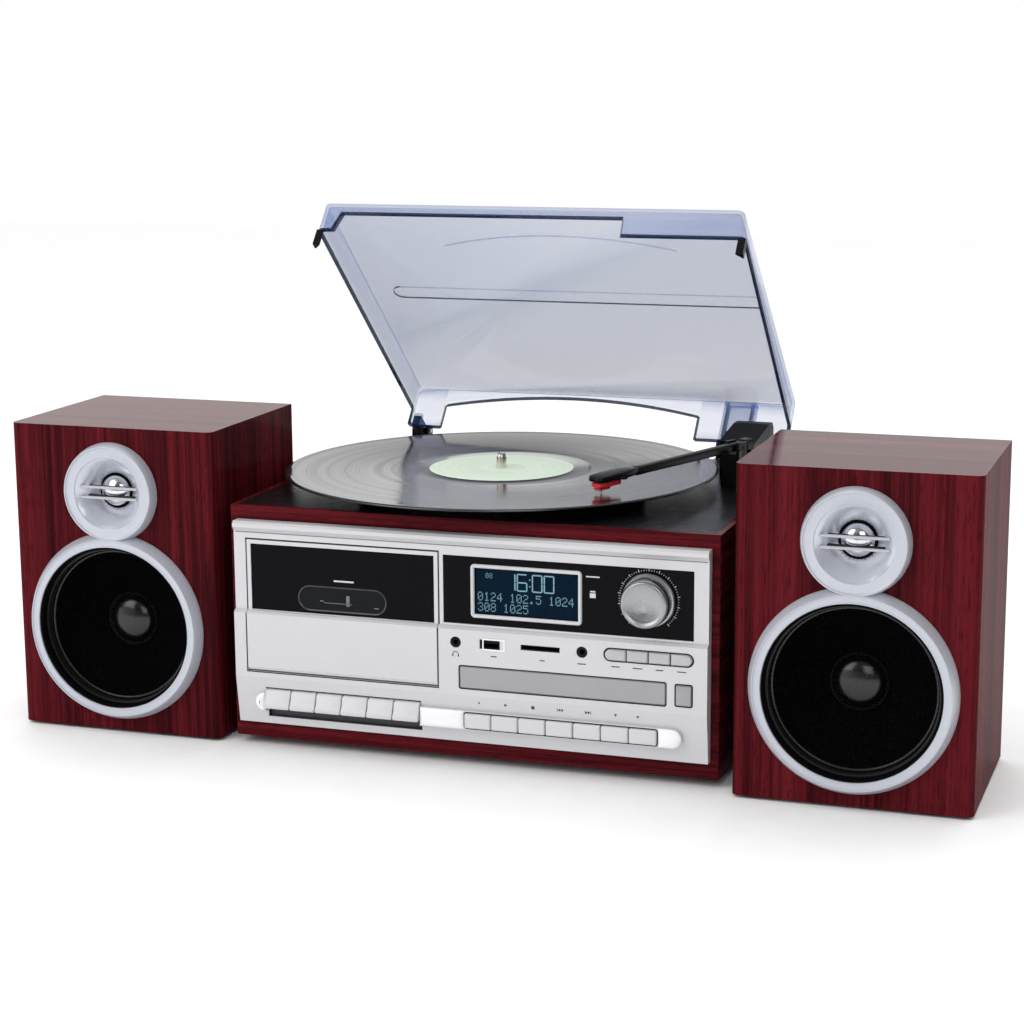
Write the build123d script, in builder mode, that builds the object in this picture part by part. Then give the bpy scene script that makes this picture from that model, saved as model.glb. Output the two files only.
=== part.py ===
"""Stereo music centre: a main unit with turntable, cassette deck, disc tray and radio, and two speakers.

Row frame in millimetres: +X to the right, +Y to the back, +Z up. The origin is below the centre of the
bounding box, at the height of the surface that the object stands on.
"""
import os
from math import atan2, cos, hypot, radians, sin

from build123d import *

os.makedirs("parts", exist_ok=True)

# ---------------------------------------------------------------------------------------------------
# Driving dimensions
# ---------------------------------------------------------------------------------------------------
# Main cabinet
unit_w = 334.0
unit_d = 256.0
unit_top = 164.0
foot_h = 6.0
board = 9.0                  # thickness of the wood board
deck_edge = 4.0              # width of the wood left around the deck plate
deck_t = 3.0                 # the deck plate lies flush in a rebate of this depth
deck_ledge = 12.0            # width of the ledge under the deck plate
seat_gap = 0.3               # clearance of an inset part in its opening

# Fascia, measured forward from the cabinet's front
fascia_inset = 5.5           # wood left on each side of the fascia
fascia_bottom = 17.5
fascia_top = 155.0
fascia_wall = 2.5
face_proud = 7.0             # upper face
bulge_proud = 10.0           # lower face
toe_proud = 5.5              # bottom edge
bead_proud = 9.0             # rounded bead along the top
bead_h = 5.0
ledge_z = 95.0               # step between upper and lower face
taper_z = 50.0               # below this the lower face runs in towards the toe
frame_margin = 6.0           # how far the cabinet's front opening stays inside the fascia

# Cassette door and bay
door_margin = 9.3            # from the fascia's left end to the door
door_w = 134.4
door_bottom = 54.4
door_top = 142.8
door_gap = 0.4
door_wall = 2.5
door_rim = 2.6               # silver rim around the window
door_hinge_z = 57.2
door_hinge_proud = 7.3
door_pin_r = 1.5
door_pin_len = 3.0
slot_w = 62.0
slot_h = 16.5
slot_z = 106.0
holder_depth = 14.0          # cassette holder behind the door
tape_w = 102.4
bay_back = 20.0              # front face of the tape mechanism behind the cabinet's front
reel_pitch = 42.5
reel_r = 4.2
reel_z = 103.0

# Display side of the fascia
display_margin = 9.5         # from the display panel to the fascia's right end
display_gap = 3.6            # from the door to the display panel
display_bottom = 96.7
display_top = 141.5
lcd_shift = -3.6             # of the display from the middle of the space beside the knob
lcd_w = 74.4
lcd_h = 35.2
lcd_z = 119.1
lcd_rim = 2.4
knob_margin = 29.2           # from the knob's axis to the panel's right end
knob_z = 121.0
knob_r = 15.6
knob_skirt_r = 17.4
knob_h = 13.5
knob_shaft_r = 3.0
running = 0.05               # radial clearance of a running fit

# Sockets in the fascia
socket_z = 85.0
phones_margin = 9.2          # from the panel's left end to the headphone jack
aux_margin = 43.6            # from the line jack to the function buttons' middle
jack_bore_r = 1.75
jack_body_r = 3.4
jack_len = 14.0
usb_w = 13.2
usb_h = 5.7
card_w = 25.6
card_h = 3.0

# Buttons and keys
function_margin = 28.4       # from the function buttons' middle to the panel's right end
function_pitch = 14.3
function_h = 7.4
function_count = 4
tray_margin = 85.8           # from the tray's middle to the panel's right end
tray_w = 137.0
tray_h = 14.4
tray_z = 62.1
disc_button_margin = 5.5
disc_button_w = 10.2
disc_button_h = 13.4
front_key_margin = 86.6      # from the keys' middle to the panel's right end
front_key_pitch = 18.4
front_key_h = 9.8
front_key_z = 33.5
front_key_count = 7
tape_key_pitch = 18.3
tape_key_bottom = 30.0
tape_key_top = 42.3
tape_key_count = 6
tape_key_slot_bottom = 22.7
key_gap = 0.5                # space between neighbouring keys
key_proud = 15.0
strip_left_margin = 14.5     # rounded strip that the key banks lie in
strip_right_margin = 15.9
strip_proud = 11.0
key_pivot_y = 25.0
key_pivot_z = 36.0
key_shaft_r = 1.5

# Disc drive
tray_len = 146.0
drive_wall = 2.0
disc_recess_r = 60.5

# Turntable
spindle_x = -21.0
spindle_y = unit_d / 2 + 1.0 # behind the cabinet's front
record_r = 150.0
record_t = 1.8
record_hole_r = 3.65
record_top = 174.2
platter_r = unit_d / 2 - 28.0
platter_rim = 3.0
platter_t = 4.0
platter_bottom = 158.6
sub_rim_r = platter_r - 35.0 # the belt runs on this rim under the platter
sub_rim_t = 3.0
well_gap = 3.0
well_floor = 156.4
spindle_r = 3.6
spindle_tip = 185.0
bearing_r = 7.0
bearing_bottom = 138.0
pulley_r = 5.0
pulley_distance = platter_r - 18.0
pulley_angle = 135.0
belt_t = 0.8
belt_h = 3.0
belt_clear = 0.25
motor_r = 17.0
motor_h = 26.0
motor_shaft_r = 1.2
motor_wall = 2.0
rotor_gap = 1.0

# Back panel and bottom
base_slots_y = 80.0          # cooling slots under the transformer
mech_d = 22.0                # cassette mechanism
heat_sink_w = 40.0
heat_sink_h = 26.0
terminal_w = 52.0            # spring terminals in each speaker's back
terminal_low = 90.0
terminal_high = 122.0

# Tonearm
arm_clear = 7.0              # from the record's edge to the arm's swinging axis
pivot_y = unit_d - 88.0
pivot_z = 190.0              # height of the arm's lifting axis
stylus_dx = -65.2            # from the swinging axis to the stylus
stylus_dy = -106.6
arm_slope = 3.3              # degrees that the tube falls towards the stylus
arm_w = 6.4
arm_h = 5.6
shell_len = 36.0
shell_w = 15.0
base_right = 7.0             # the base's side faces, from the swinging axis
base_left = 9.2
base_front = 6.0
base_top = 178.0
housing_left = 19.0          # wide housing behind the swinging axis, its top rising to the rear
housing_front = 16.4
housing_step = 30.4          # the housing is wide only behind this, clear of the record
housing_rear = 72.0
housing_low = 186.0
housing_top = 194.0
arm_gap = 0.3
arm_axle_r = 1.0
rest_y = pivot_y - 12.0
finger_len = 6.5             # finger lift beyond the headshell, clear of the closed lid
cue_len = 28.0               # cue lever in front of its own axis
switch_dx = 19.0             # speed switch, to the right of the swinging axis

# Dust cover, in its closed position
lid_x = 6.0
lid_w = 294.4
lid_front = 29.5             # front edge behind the cabinet's front
lid_rear = unit_d + 6.5
lid_len = lid_rear - lid_front
lid_top = 199.5
lid_wall = 2.5
lid_skirt = 23.0
lid_foot = 36.0
lid_front_skirt = 9.0
lid_left_tab = 10.0
lid_right_tab = 79.0
lid_flare = 5.0              # the right wall's front corner leans out by this much
lid_foot_side = 5.5
lid_foot_left_w = 25.0
lid_foot_right_w = 70.0
arc_end = 16.5               # depth of the rear wall where the arc starts
arc_mid = 5.5                # depth of the rear wall at the top of the arc
lid_open = 41.2              # degrees
hinge_y = unit_d + 22.0
hinge_z = 170.5
hinge_right_inset = 41.5     # from the lid's right side to the hinge's middle
hinge_leaf_w = 16.0
hinge_left_inset = 4.2
hinge_left_w = 6.0
hinge_pin_r = 1.5
barrel_r = 4.5
ear_t = 3.5
bumper_h = 12.3
bumper_w = 5.0
bumper_cut = 4.0             # the bumper's inner corner, cut away to pass the record
bumper_lean = 0.3            # the leaning wall's end covers the bumper by this much

# Speakers
speaker_w = 150.0
speaker_d = 130.0
speaker_h = 212.0
speaker_foot_h = 2.0
speaker_gap = 11.0           # space between the main unit and each speaker
speaker_board = 10.0
speaker_edge = 5.0           # rounding of the upright front edges
left_speaker_y = -3.2        # front of each speaker behind the cabinet's front
right_speaker_y = -13.0
woofer_z = 75.0
woofer_ring_r = 65.0
woofer_open_r = 54.0
tweeter_z = 168.0
tweeter_ring_r = 34.0
tweeter_open_r = 24.0
trim_proud = 8.0
cone_r = 52.5
cone_back_r = 17.0
cone_depth = 21.0
cone_t = 1.6
cap_r = 16.0
basket_r = 54.8
basket_t = 2.0
magnet_r = 35.0
magnet_h = 16.0
dome_r = 12.0

# ---------------------------------------------------------------------------------------------------
# Places worked out from the dimensions
# ---------------------------------------------------------------------------------------------------
along_x = (0, 90, 0)
along_y = (90, 0, 0)
lid_angle = radians(lid_open)
record_overhang = record_r - spindle_y
open_lid_reach = hinge_y + (lid_rear - hinge_y) * cos(lid_angle) + (lid_top - hinge_z) * sin(lid_angle)
front_y = -(open_lid_reach - record_overhang) / 2      # puts the bounding box's middle at y = 0
rear_y = front_y + unit_d
left_x = -unit_w / 2
right_x = unit_w / 2
fascia_w = unit_w - 2 * fascia_inset
door_x = left_x + fascia_inset + door_margin + door_w / 2
display_left = door_x + door_w / 2 + display_gap
display_right = right_x - fascia_inset - display_margin
display_x = (display_left + display_right) / 2
display_w = display_right - display_left
knob_x = display_right - knob_margin
lcd_x = (display_left + knob_x - knob_skirt_r) / 2 + lcd_shift
function_x = display_right - function_margin
phones_x = display_left + phones_margin
aux_x = function_x - aux_margin
usb_x = phones_x + 0.274 * (aux_x - phones_x)
card_x = phones_x + 0.674 * (aux_x - phones_x)
tray_x = display_right - tray_margin
disc_button_x = display_right - disc_button_margin
front_key_x = display_right - front_key_margin
tape_key_x = door_x
strip_left = left_x + fascia_inset + strip_left_margin
strip_right = right_x - fascia_inset - strip_right_margin
lid_l = lid_x - lid_w / 2
lid_r = lid_x + lid_w / 2
hinge_left_x = lid_l + hinge_left_inset
hinge_right_x = lid_r - hinge_right_inset
cavity_bottom = foot_h + board
cavity_top = unit_top - 13.0
deck_bottom = unit_top - deck_t
record_bottom = record_top - record_t
pivot_x = spindle_x + record_r + arm_clear
stylus_x = pivot_x + stylus_dx
stylus_y = pivot_y + stylus_dy
spindle_cy = front_y + spindle_y
pulley_x = spindle_x + pulley_distance * cos(radians(pulley_angle))
pulley_y = spindle_cy + pulley_distance * sin(radians(pulley_angle))
well_r = platter_r + well_gap
speaker_left_x = left_x - speaker_gap - speaker_w / 2
speaker_right_x = right_x + speaker_gap + speaker_w / 2


def span(centre, width):
    """Low and high limits of a width about a centre."""
    return (centre - width / 2, centre + width / 2)


def block(x, y, z, mode=Mode.ADD):
    """Box between the low and high limits on each axis."""
    with Locations(((x[0] + x[1]) / 2, (y[0] + y[1]) / 2, (z[0] + z[1]) / 2)):
        Box(x[1] - x[0], y[1] - y[0], z[1] - z[0], mode=mode)


def proud_plane(proud, front=front_y):
    """Upright plane that faces forward, this far in front of a front face."""
    return Plane.XZ.offset(proud - front)


# ---------------------------------------------------------------------------------------------------
# Cabinet, base, rear panel and feet
# ---------------------------------------------------------------------------------------------------
base_inset = 14.0
base_t = 2.0
key_shelf = 26.0             # board in front of the base opening, under the keys
base_y = (front_y + base_inset, rear_y - base_inset)

with BuildPart() as cabinet:
    block((left_x, right_x), (front_y, rear_y), (foot_h, unit_top))
    block((left_x + board, right_x - board), (front_y + board, rear_y), (cavity_bottom, cavity_top),
          Mode.SUBTRACT)
    block((left_x + deck_edge, right_x - deck_edge), (front_y + deck_edge, rear_y - deck_edge),
          (deck_bottom, unit_top), Mode.SUBTRACT)
    ledge_in = board + deck_ledge
    block((left_x + ledge_in, right_x - ledge_in), (front_y + ledge_in, rear_y - ledge_in),
          (cavity_top, deck_bottom), Mode.SUBTRACT)
    block(span(0, fascia_w - 2 * frame_margin), (front_y, front_y + board),
          (fascia_bottom + frame_margin, fascia_top - frame_margin), Mode.SUBTRACT)
    block(span(0, unit_w - 2 * base_inset - 20.0), (base_y[0] + key_shelf, base_y[1] - 10.0),
          (foot_h, cavity_bottom), Mode.SUBTRACT)
    upright_edges = cabinet.edges().filter_by(Axis.Z).filter_by(lambda e: e.length > unit_top - foot_h - 1)
    fillet(upright_edges, 1.2)
cabinet.part.label = "cabinet"
export_step(cabinet.part, "parts/cabinet.step")

post_h = 12.0
board_w = 130.0
board_d = 90.0
board_x = left_x + board + 21.0 + board_w / 2
board_y = rear_y - 43.0 - board_d / 2
core_w = 54.0
core_d = 44.0
core_h = 40.0
core_foot_w = 74.0
winding_w = 36.0
winding_d = 56.0
winding_h = 28.0
transformer_x = right_x - board - 16.0 - core_foot_w / 2
transformer_y = rear_y - 34.0 - winding_d / 2
with BuildPart() as base_plate:
    block(span(0, unit_w - 2 * base_inset), base_y, (foot_h - base_t, foot_h))
    with Locations((board_x, board_y, foot_h)):
        with GridLocations(board_w - 12, board_d - 12, 2, 2):
            Cylinder(3, post_h, align=(Align.CENTER, Align.CENTER, Align.MIN))
    with Locations((transformer_x, front_y + base_slots_y, foot_h)):
        with GridLocations(9, 0, 6, 1):
            Box(4, 50, 3 * base_t, mode=Mode.SUBTRACT)
base_plate.part.label = "base_plate"
export_step(base_plate.part, "parts/base_plate.step")

foot_r = 9.0
with BuildPart() as feet:
    with Locations((0, front_y + unit_d / 2, 0)):
        foot_inset = base_inset + foot_r + 4
        with GridLocations(unit_w - 2 * foot_inset, unit_d - 2 * foot_inset, 2, 2):
            Cone(foot_r - 1.5, foot_r, foot_h - base_t, align=(Align.CENTER, Align.CENTER, Align.MIN))
    for speaker_x, speaker_y in ((speaker_left_x, left_speaker_y), (speaker_right_x, right_speaker_y)):
        with Locations((speaker_x, front_y + speaker_y + speaker_d / 2, 0)):
            with GridLocations(speaker_w - 30, speaker_d - 30, 2, 2):
                Cylinder(7, speaker_foot_h, align=(Align.CENTER, Align.CENTER, Align.MIN))
feet.part.label = "feet"
export_step(feet.part, "parts/feet.step")

panel_t = 3.0
panel_y = rear_y - 6.0
terminal_x = left_x + 72.0
terminal_w = 52.0
terminal_h = 26.0
terminal_z = 48.0
line_x = -20.0
line_z = 48.0
aerial_x = 30.0
inlet_x = right_x - 52.0
inlet_w = 22.0
inlet_h = 18.0
with BuildPart() as rear_panel:
    block((left_x + board + seat_gap, right_x - board - seat_gap), (panel_y - panel_t, panel_y),
          (cavity_bottom + seat_gap, cavity_top - seat_gap))
    with BuildSketch(Plane.XZ.offset(-panel_y)):
        with Locations((terminal_x, terminal_z)):
            Rectangle(terminal_w, terminal_h)
        with Locations((inlet_x, terminal_z)):
            Rectangle(inlet_w, inlet_h)
        with Locations((line_x - 7, line_z), (line_x + 7, line_z), (aerial_x, line_z)):
            Circle(5.2)
        with Locations((0, 115)):
            with GridLocations(12, 0, 18, 1):
                SlotOverall(34, 4, rotation=90)
    extrude(amount=panel_t, mode=Mode.SUBTRACT)
rear_panel.part.label = "rear_panel"
export_step(rear_panel.part, "parts/rear_panel.step")

with BuildPart() as rear_terminals:
    block(span(terminal_x, terminal_w - 2 * seat_gap), (panel_y - 16, panel_y + 1.5),
          span(terminal_z, terminal_h - 2 * seat_gap))
    with BuildSketch(Plane.XZ.offset(-(panel_y + 1.5))):
        with Locations((terminal_x, terminal_z)):
            with GridLocations(12, 12, 4, 2):
                Circle(2.2)
    extrude(amount=9, mode=Mode.SUBTRACT)
    block(span(inlet_x, inlet_w - 2 * seat_gap), (panel_y - 18, panel_y + 1.5),
          span(terminal_z, inlet_h - 2 * seat_gap))
    block(span(inlet_x, 15), (panel_y - 12, panel_y + 1.5), span(terminal_z, 10), Mode.SUBTRACT)
    for pin_x in (inlet_x - 3.5, inlet_x + 3.5):
        with Locations((pin_x, panel_y - 8, terminal_z)):
            Cylinder(1.1, 9, rotation=along_y)
    for socket_x in (line_x - 7, line_x + 7, aerial_x):
        with Locations((socket_x, panel_y, line_z)):
            Cylinder(5.0, 20, rotation=along_y)
            Cylinder(1.7, 20, rotation=along_y, mode=Mode.SUBTRACT)
rear_terminals.part.label = "rear_terminals"
export_step(rear_terminals.part, "parts/rear_terminals.step")

# ---------------------------------------------------------------------------------------------------
# Fascia
# ---------------------------------------------------------------------------------------------------
strip_h = front_key_h + 2 * seat_gap
tape_key_w = tape_key_pitch * tape_key_count
front_key_w = front_key_pitch * front_key_count
function_w = function_pitch * function_count

with BuildPart() as fascia:
    with BuildSketch(Plane.YZ.offset(-fascia_w / 2)) as fascia_section:
        with BuildLine():
            Polyline(
                (front_y, fascia_bottom),
                (front_y - toe_proud, fascia_bottom),
                (front_y - bulge_proud, taper_z),
                (front_y - bulge_proud, ledge_z - 1.5),
                (front_y - bulge_proud + 1.5, ledge_z),
                (front_y - face_proud, ledge_z + 0.5),
                (front_y - face_proud, fascia_top - bead_h - 1.5),
                (front_y - bead_proud, fascia_top - bead_h + 1.0),
                (front_y - bead_proud, fascia_top - 1.5),
                (front_y - bead_proud + 1.5, fascia_top),
                (front_y, fascia_top),
                close=True,
            )
        make_face()
    extrude(amount=fascia_w)
    with BuildSketch(Plane.YZ.offset(-fascia_w / 2 + fascia_wall)):
        add(fascia_section.sketch.moved(Location((fascia_wall, 0, 0))))
        offset(amount=-fascia_wall, kind=Kind.INTERSECTION)
    extrude(amount=fascia_w - 2 * fascia_wall, mode=Mode.SUBTRACT)
    block(span(0, fascia_w - 2 * fascia_wall), (front_y - 2 * fascia_wall, front_y),
          (fascia_bottom + fascia_wall, fascia_top - fascia_wall), Mode.SUBTRACT)
    # the rounded strip that holds the two banks of keys
    with BuildSketch(proud_plane(strip_proud)):
        with Locations(((strip_left + strip_right) / 2, front_key_z)):
            SlotOverall(strip_right - strip_left, strip_h + 2.4)
    extrude(amount=-(strip_proud - toe_proud))
    # openings
    with BuildSketch(proud_plane(strip_proud + 4)):
        with Locations((door_x, (door_bottom + door_top) / 2)):
            Rectangle(door_w + 2 * door_gap, door_top - door_bottom + 2 * door_gap)
        with Locations((display_x, (display_bottom + display_top) / 2)):
            Rectangle(display_w, display_top - display_bottom)
        with Locations((tray_x, tray_z)):
            Rectangle(tray_w + 2 * seat_gap, tray_h + 2 * seat_gap)
        with Locations((disc_button_x, tray_z)):
            Rectangle(disc_button_w + 2 * seat_gap, disc_button_h + 2 * seat_gap)
        with Locations((function_x, socket_z)):
            SlotOverall(function_w + 2 * seat_gap, function_h + 2 * seat_gap)
        with Locations((front_key_x, front_key_z)):
            Rectangle(front_key_w + 2 * seat_gap - key_gap, front_key_h + 2 * seat_gap)
        with Locations((tape_key_x, (tape_key_slot_bottom + tape_key_top) / 2)):
            Rectangle(tape_key_w + 2 * seat_gap - key_gap, tape_key_top - tape_key_slot_bottom + seat_gap)
        with Locations((phones_x, socket_z), (aux_x, socket_z)):
            Circle(jack_body_r + seat_gap)
        with Locations((usb_x, socket_z)):
            Rectangle(usb_w + 2 * seat_gap, usb_h + 2 * seat_gap)
        with Locations((card_x, socket_z)):
            Rectangle(card_w + 2 * seat_gap, card_h + 2 * seat_gap)
    extrude(amount=-(strip_proud + 4), mode=Mode.SUBTRACT)
    for side in (-1, 1):
        with Locations((door_x + side * (door_w / 2 - 0.5), front_y - door_hinge_proud, door_hinge_z)):
            Cylinder(door_pin_r, 2 * door_pin_len, rotation=along_x)
fascia.part.label = "fascia"
export_step(fascia.part, "parts/fascia.step")

display_back = face_proud - fascia_wall
panel_flange = 1.6
knob_hole_r = knob_shaft_r + 2.0
with BuildPart() as display_panel:
    with BuildSketch(proud_plane(display_back)):
        with Locations((display_x, (display_bottom + display_top) / 2)):
            Rectangle(display_w - 2 * seat_gap, display_top - display_bottom - 2 * seat_gap)
    extrude(amount=fascia_wall - 0.5)
    with BuildSketch(proud_plane(display_back)):
        with Locations((display_x, (display_bottom + display_top) / 2 + 1)):
            Rectangle(display_w + 1.2, display_top - display_bottom + 2)
    extrude(amount=-panel_flange)
    with BuildSketch(proud_plane(face_proud)):
        with Locations((lcd_x, lcd_z)):
            Rectangle(lcd_w - 2 * lcd_rim, lcd_h - 2 * lcd_rim)
        with Locations((knob_x, knob_z)):
            Circle(knob_hole_r)
    extrude(amount=-(face_proud - 0.5), mode=Mode.SUBTRACT)
display_panel.part.label = "display_panel"
export_step(display_panel.part, "parts/display_panel.step")

display_face = face_proud - 0.5
with BuildPart() as lcd_bezel:
    with BuildSketch(proud_plane(display_face)):
        with Locations((lcd_x, lcd_z)):
            RectangleRounded(lcd_w, lcd_h, 2.4)
            RectangleRounded(lcd_w - 2 * lcd_rim, lcd_h - 2 * lcd_rim, 1.0, mode=Mode.SUBTRACT)
    extrude(amount=2.0)
    chamfer(lcd_bezel.faces().sort_by(Axis.Y)[0].outer_wire().edges(), 0.8)
lcd_bezel.part.label = "lcd_bezel"
export_step(lcd_bezel.part, "parts/lcd_bezel.step")

lcd_t = 4.0
with BuildPart() as lcd_screen:
    with BuildSketch(proud_plane(display_face - 0.6)):
        with Locations((lcd_x, lcd_z)):
            Rectangle(lcd_w - 2 * lcd_rim - 2 * seat_gap, lcd_h - 2 * lcd_rim - 2 * seat_gap)
    extrude(amount=-lcd_t)
lcd_screen.part.label = "lcd_screen"
export_step(lcd_screen.part, "parts/lcd_screen.step")

with BuildPart() as volume_knob:
    with BuildSketch(proud_plane(display_face + 0.4)):
        with Locations((knob_x, knob_z)):
            Circle(knob_skirt_r)
    extrude(amount=2.5)
    with BuildSketch(proud_plane(display_face + 0.4)):
        with Locations((knob_x, knob_z)):
            Circle(knob_r)
    extrude(amount=knob_h)
    chamfer(volume_knob.faces().sort_by(Axis.Y)[0].outer_wire().edges(), 1.2)
    with BuildSketch(proud_plane(display_face + 0.4)):
        with Locations((knob_x, knob_z)):
            Circle(knob_shaft_r + running)
    extrude(amount=knob_h - 3, mode=Mode.SUBTRACT)
volume_knob.part.label = "volume_knob"
export_step(volume_knob.part, "parts/volume_knob.step")

socket_back = bulge_proud - jack_len
with BuildPart() as front_sockets:
    for jack_x in (phones_x, aux_x):
        with BuildSketch(proud_plane(bulge_proud - 0.4)):
            with Locations((jack_x, socket_z)):
                Circle(jack_body_r)
                Circle(jack_bore_r, mode=Mode.SUBTRACT)
        extrude(amount=-jack_len)
    with BuildSketch(proud_plane(bulge_proud - 0.6)):
        with Locations((usb_x, socket_z)):
            Rectangle(usb_w, usb_h)
            Rectangle(usb_w - 1.2, usb_h - 1.2, mode=Mode.SUBTRACT)
    extrude(amount=-jack_len)
    with BuildSketch(proud_plane(socket_back)):
        with Locations((usb_x, socket_z)):
            Rectangle(usb_w, usb_h)
    extrude(amount=1.0)
    with BuildSketch(proud_plane(socket_back)):
        with Locations((usb_x, socket_z + 0.7)):
            Rectangle(usb_w - 2.6, 1.4)
    extrude(amount=jack_len - 3)
    with BuildSketch(proud_plane(bulge_proud - 0.6)):
        with Locations((card_x, socket_z)):
            Rectangle(card_w, card_h)
            Rectangle(card_w - 1.0, card_h - 1.0, mode=Mode.SUBTRACT)
    extrude(amount=-jack_len)
    block(span(card_x, card_w), (front_y - socket_back - 0.4, front_y - socket_back + 0.6),
          span(socket_z, card_h))
front_sockets.part.label = "front_sockets"
export_step(front_sockets.part, "parts/front_sockets.step")

# ---------------------------------------------------------------------------------------------------
# Cassette deck
# ---------------------------------------------------------------------------------------------------
window_bottom = ledge_z + 0.8
with BuildPart() as cassette_door:
    with BuildSketch(Plane.YZ.offset(door_x - door_w / 2)):
        with BuildLine():
            Polyline(
                (front_y - face_proud + door_wall, door_top),
                (front_y - face_proud - 0.2, door_top),
                (front_y - face_proud - 0.2, ledge_z + 0.5),
                (front_y - bulge_proud + 1.3, ledge_z),
                (front_y - bulge_proud - 0.2, ledge_z - 1.5),
                (front_y - bulge_proud - 0.1, door_hinge_z),
                (front_y - door_hinge_proud - 2.1, door_bottom + 0.8),
                (front_y - door_hinge_proud, door_bottom),
                (front_y - door_hinge_proud + 2.2, door_bottom + 1.0),
                (front_y - door_hinge_proud + 3.0, door_hinge_z + 4.0),
                (front_y - face_proud + door_wall, ledge_z - 4),
                close=True,
            )
        make_face()
    extrude(amount=door_w)
    with BuildSketch(proud_plane(face_proud + 0.2)):
        with Locations((door_x, (window_bottom + door_top - door_rim) / 2)):
            Rectangle(door_w - 2 * door_rim, door_top - door_rim - window_bottom)
    extrude(amount=-(door_wall + 0.2), mode=Mode.SUBTRACT)
    # the holder that the cassette stands in
    for side in (-1, 1):
        guide_x = door_x + side * (tape_w / 2 + 2.0)
        block(span(guide_x, 2.0), (front_y - face_proud + door_wall, front_y + holder_depth - 4),
              (door_hinge_z + 4.0, ledge_z - 4))
    block(span(door_x, tape_w + 6.0), (front_y - face_proud + door_wall, front_y + holder_depth - 4),
          (door_hinge_z + 4.0, door_hinge_z + 6.0))
    for side in (-1, 1):
        with Locations((door_x + side * door_w / 2, front_y - door_hinge_proud, door_hinge_z)):
            Cylinder(door_pin_r + running, 2 * (door_pin_len + 1), rotation=along_x, mode=Mode.SUBTRACT)
cassette_door.part.label = "cassette_door"
export_step(cassette_door.part, "parts/cassette_door.step")

with BuildPart() as door_window:
    with BuildSketch(proud_plane(face_proud - 0.1)):
        with Locations((door_x, (window_bottom + door_top - door_rim) / 2)):
            Rectangle(door_w - 2 * door_rim - 0.4, door_top - door_rim - window_bottom - 0.4)
    extrude(amount=-door_wall)
    with BuildSketch(proud_plane(face_proud)):
        with Locations((door_x, slot_z)):
            SlotOverall(slot_w, slot_h)
    extrude(amount=-0.8, mode=Mode.SUBTRACT)
door_window.part.label = "door_window"
export_step(door_window.part, "parts/door_window.step")

mech_bottom = 60.0
mech_top = 138.0
bay_w = 128.0
with BuildPart() as cassette_mechanism:
    block(span(door_x, bay_w), (front_y + bay_back, front_y + bay_back + mech_d), (mech_bottom, mech_top))
    for side in (-1, 1):
        bay_side = door_x + side * (bay_w / 2 - 1.0)
        block(span(bay_side, 2.0), (front_y + board + 1, front_y + bay_back), (mech_bottom, mech_top))
    # tape head with its bracket, and the pinch roller's post
    block(span(door_x, 16), (front_y + bay_back - 6, front_y + bay_back), (mech_bottom + 8, mech_bottom + 17))
    with Locations((door_x + 24, front_y + bay_back - 4, mech_bottom + 13)):
        Cylinder(5.5, 8, rotation=along_y)
    for side in (-1, 1):
        with Locations((door_x + side * reel_pitch / 2, front_y + bay_back - 0.5, reel_z)):
            Cylinder(1.5, 12, rotation=along_y)
    # shaft that the six keys turn on, with a bracket at each end
    with Locations((tape_key_x, front_y + key_pivot_y, key_pivot_z)):
        Cylinder(key_shaft_r, tape_key_w + 14, rotation=along_x)
    for side in (-1, 1):
        bracket_x = tape_key_x + side * (tape_key_w / 2 + 4.5)
        block(span(bracket_x, 3.0), (front_y + key_pivot_y - 4, front_y + key_pivot_y + 12),
              (cavity_bottom, mech_bottom))
cassette_mechanism.part.label = "cassette_mechanism"
export_step(cassette_mechanism.part, "parts/cassette_mechanism.step")

for reel_name, side in (("supply_reel", -1), ("takeup_reel", 1)):
    with BuildPart() as reel:
        with BuildSketch(Plane.XZ.offset(-(front_y + bay_back - 0.3))):
            with Locations((door_x + side * reel_pitch / 2, reel_z)):
                Circle(reel_r)
                with PolarLocations(reel_r, 3):
                    Rectangle(2.4, 1.4)
                Circle(1.5 + running, mode=Mode.SUBTRACT)
        extrude(amount=9)
    reel.part.label = reel_name
    export_step(reel.part, f"parts/{reel_name}.step")

key_depth_back = key_pivot_y + 4.0
key_cap_back = 4.5
for number in range(1, tape_key_count + 1):
    key_x = tape_key_x + (number - (tape_key_count + 1) / 2) * tape_key_pitch
    with BuildPart() as tape_key:
        with BuildSketch(Plane.YZ.offset(key_x - (tape_key_pitch - key_gap) / 2)):
            with BuildLine():
                Polyline(
                    (front_y - key_cap_back, tape_key_bottom),
                    (front_y - key_proud + 1.0, tape_key_bottom),
                    (front_y - key_proud, tape_key_bottom + 2.0),
                    (front_y - bulge_proud - 0.5, tape_key_top - 0.6),
                    (front_y - bulge_proud + 0.6, tape_key_top - 0.2),
                    (front_y - key_cap_back, tape_key_top - 0.2),
                    close=True,
                )
            make_face()
        extrude(amount=tape_key_pitch - key_gap)
        block(span(key_x, tape_key_pitch - 8), (front_y - key_cap_back, front_y + key_depth_back),
              span(key_pivot_z, 7.0))
        with Locations((key_x, front_y + key_pivot_y, key_pivot_z)):
            Cylinder(key_shaft_r + running, tape_key_pitch, rotation=along_x, mode=Mode.SUBTRACT)
    tape_key.part.label = f"cassette_key_{number}"
    export_step(tape_key.part, f"parts/cassette_key_{number}.step")

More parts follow.
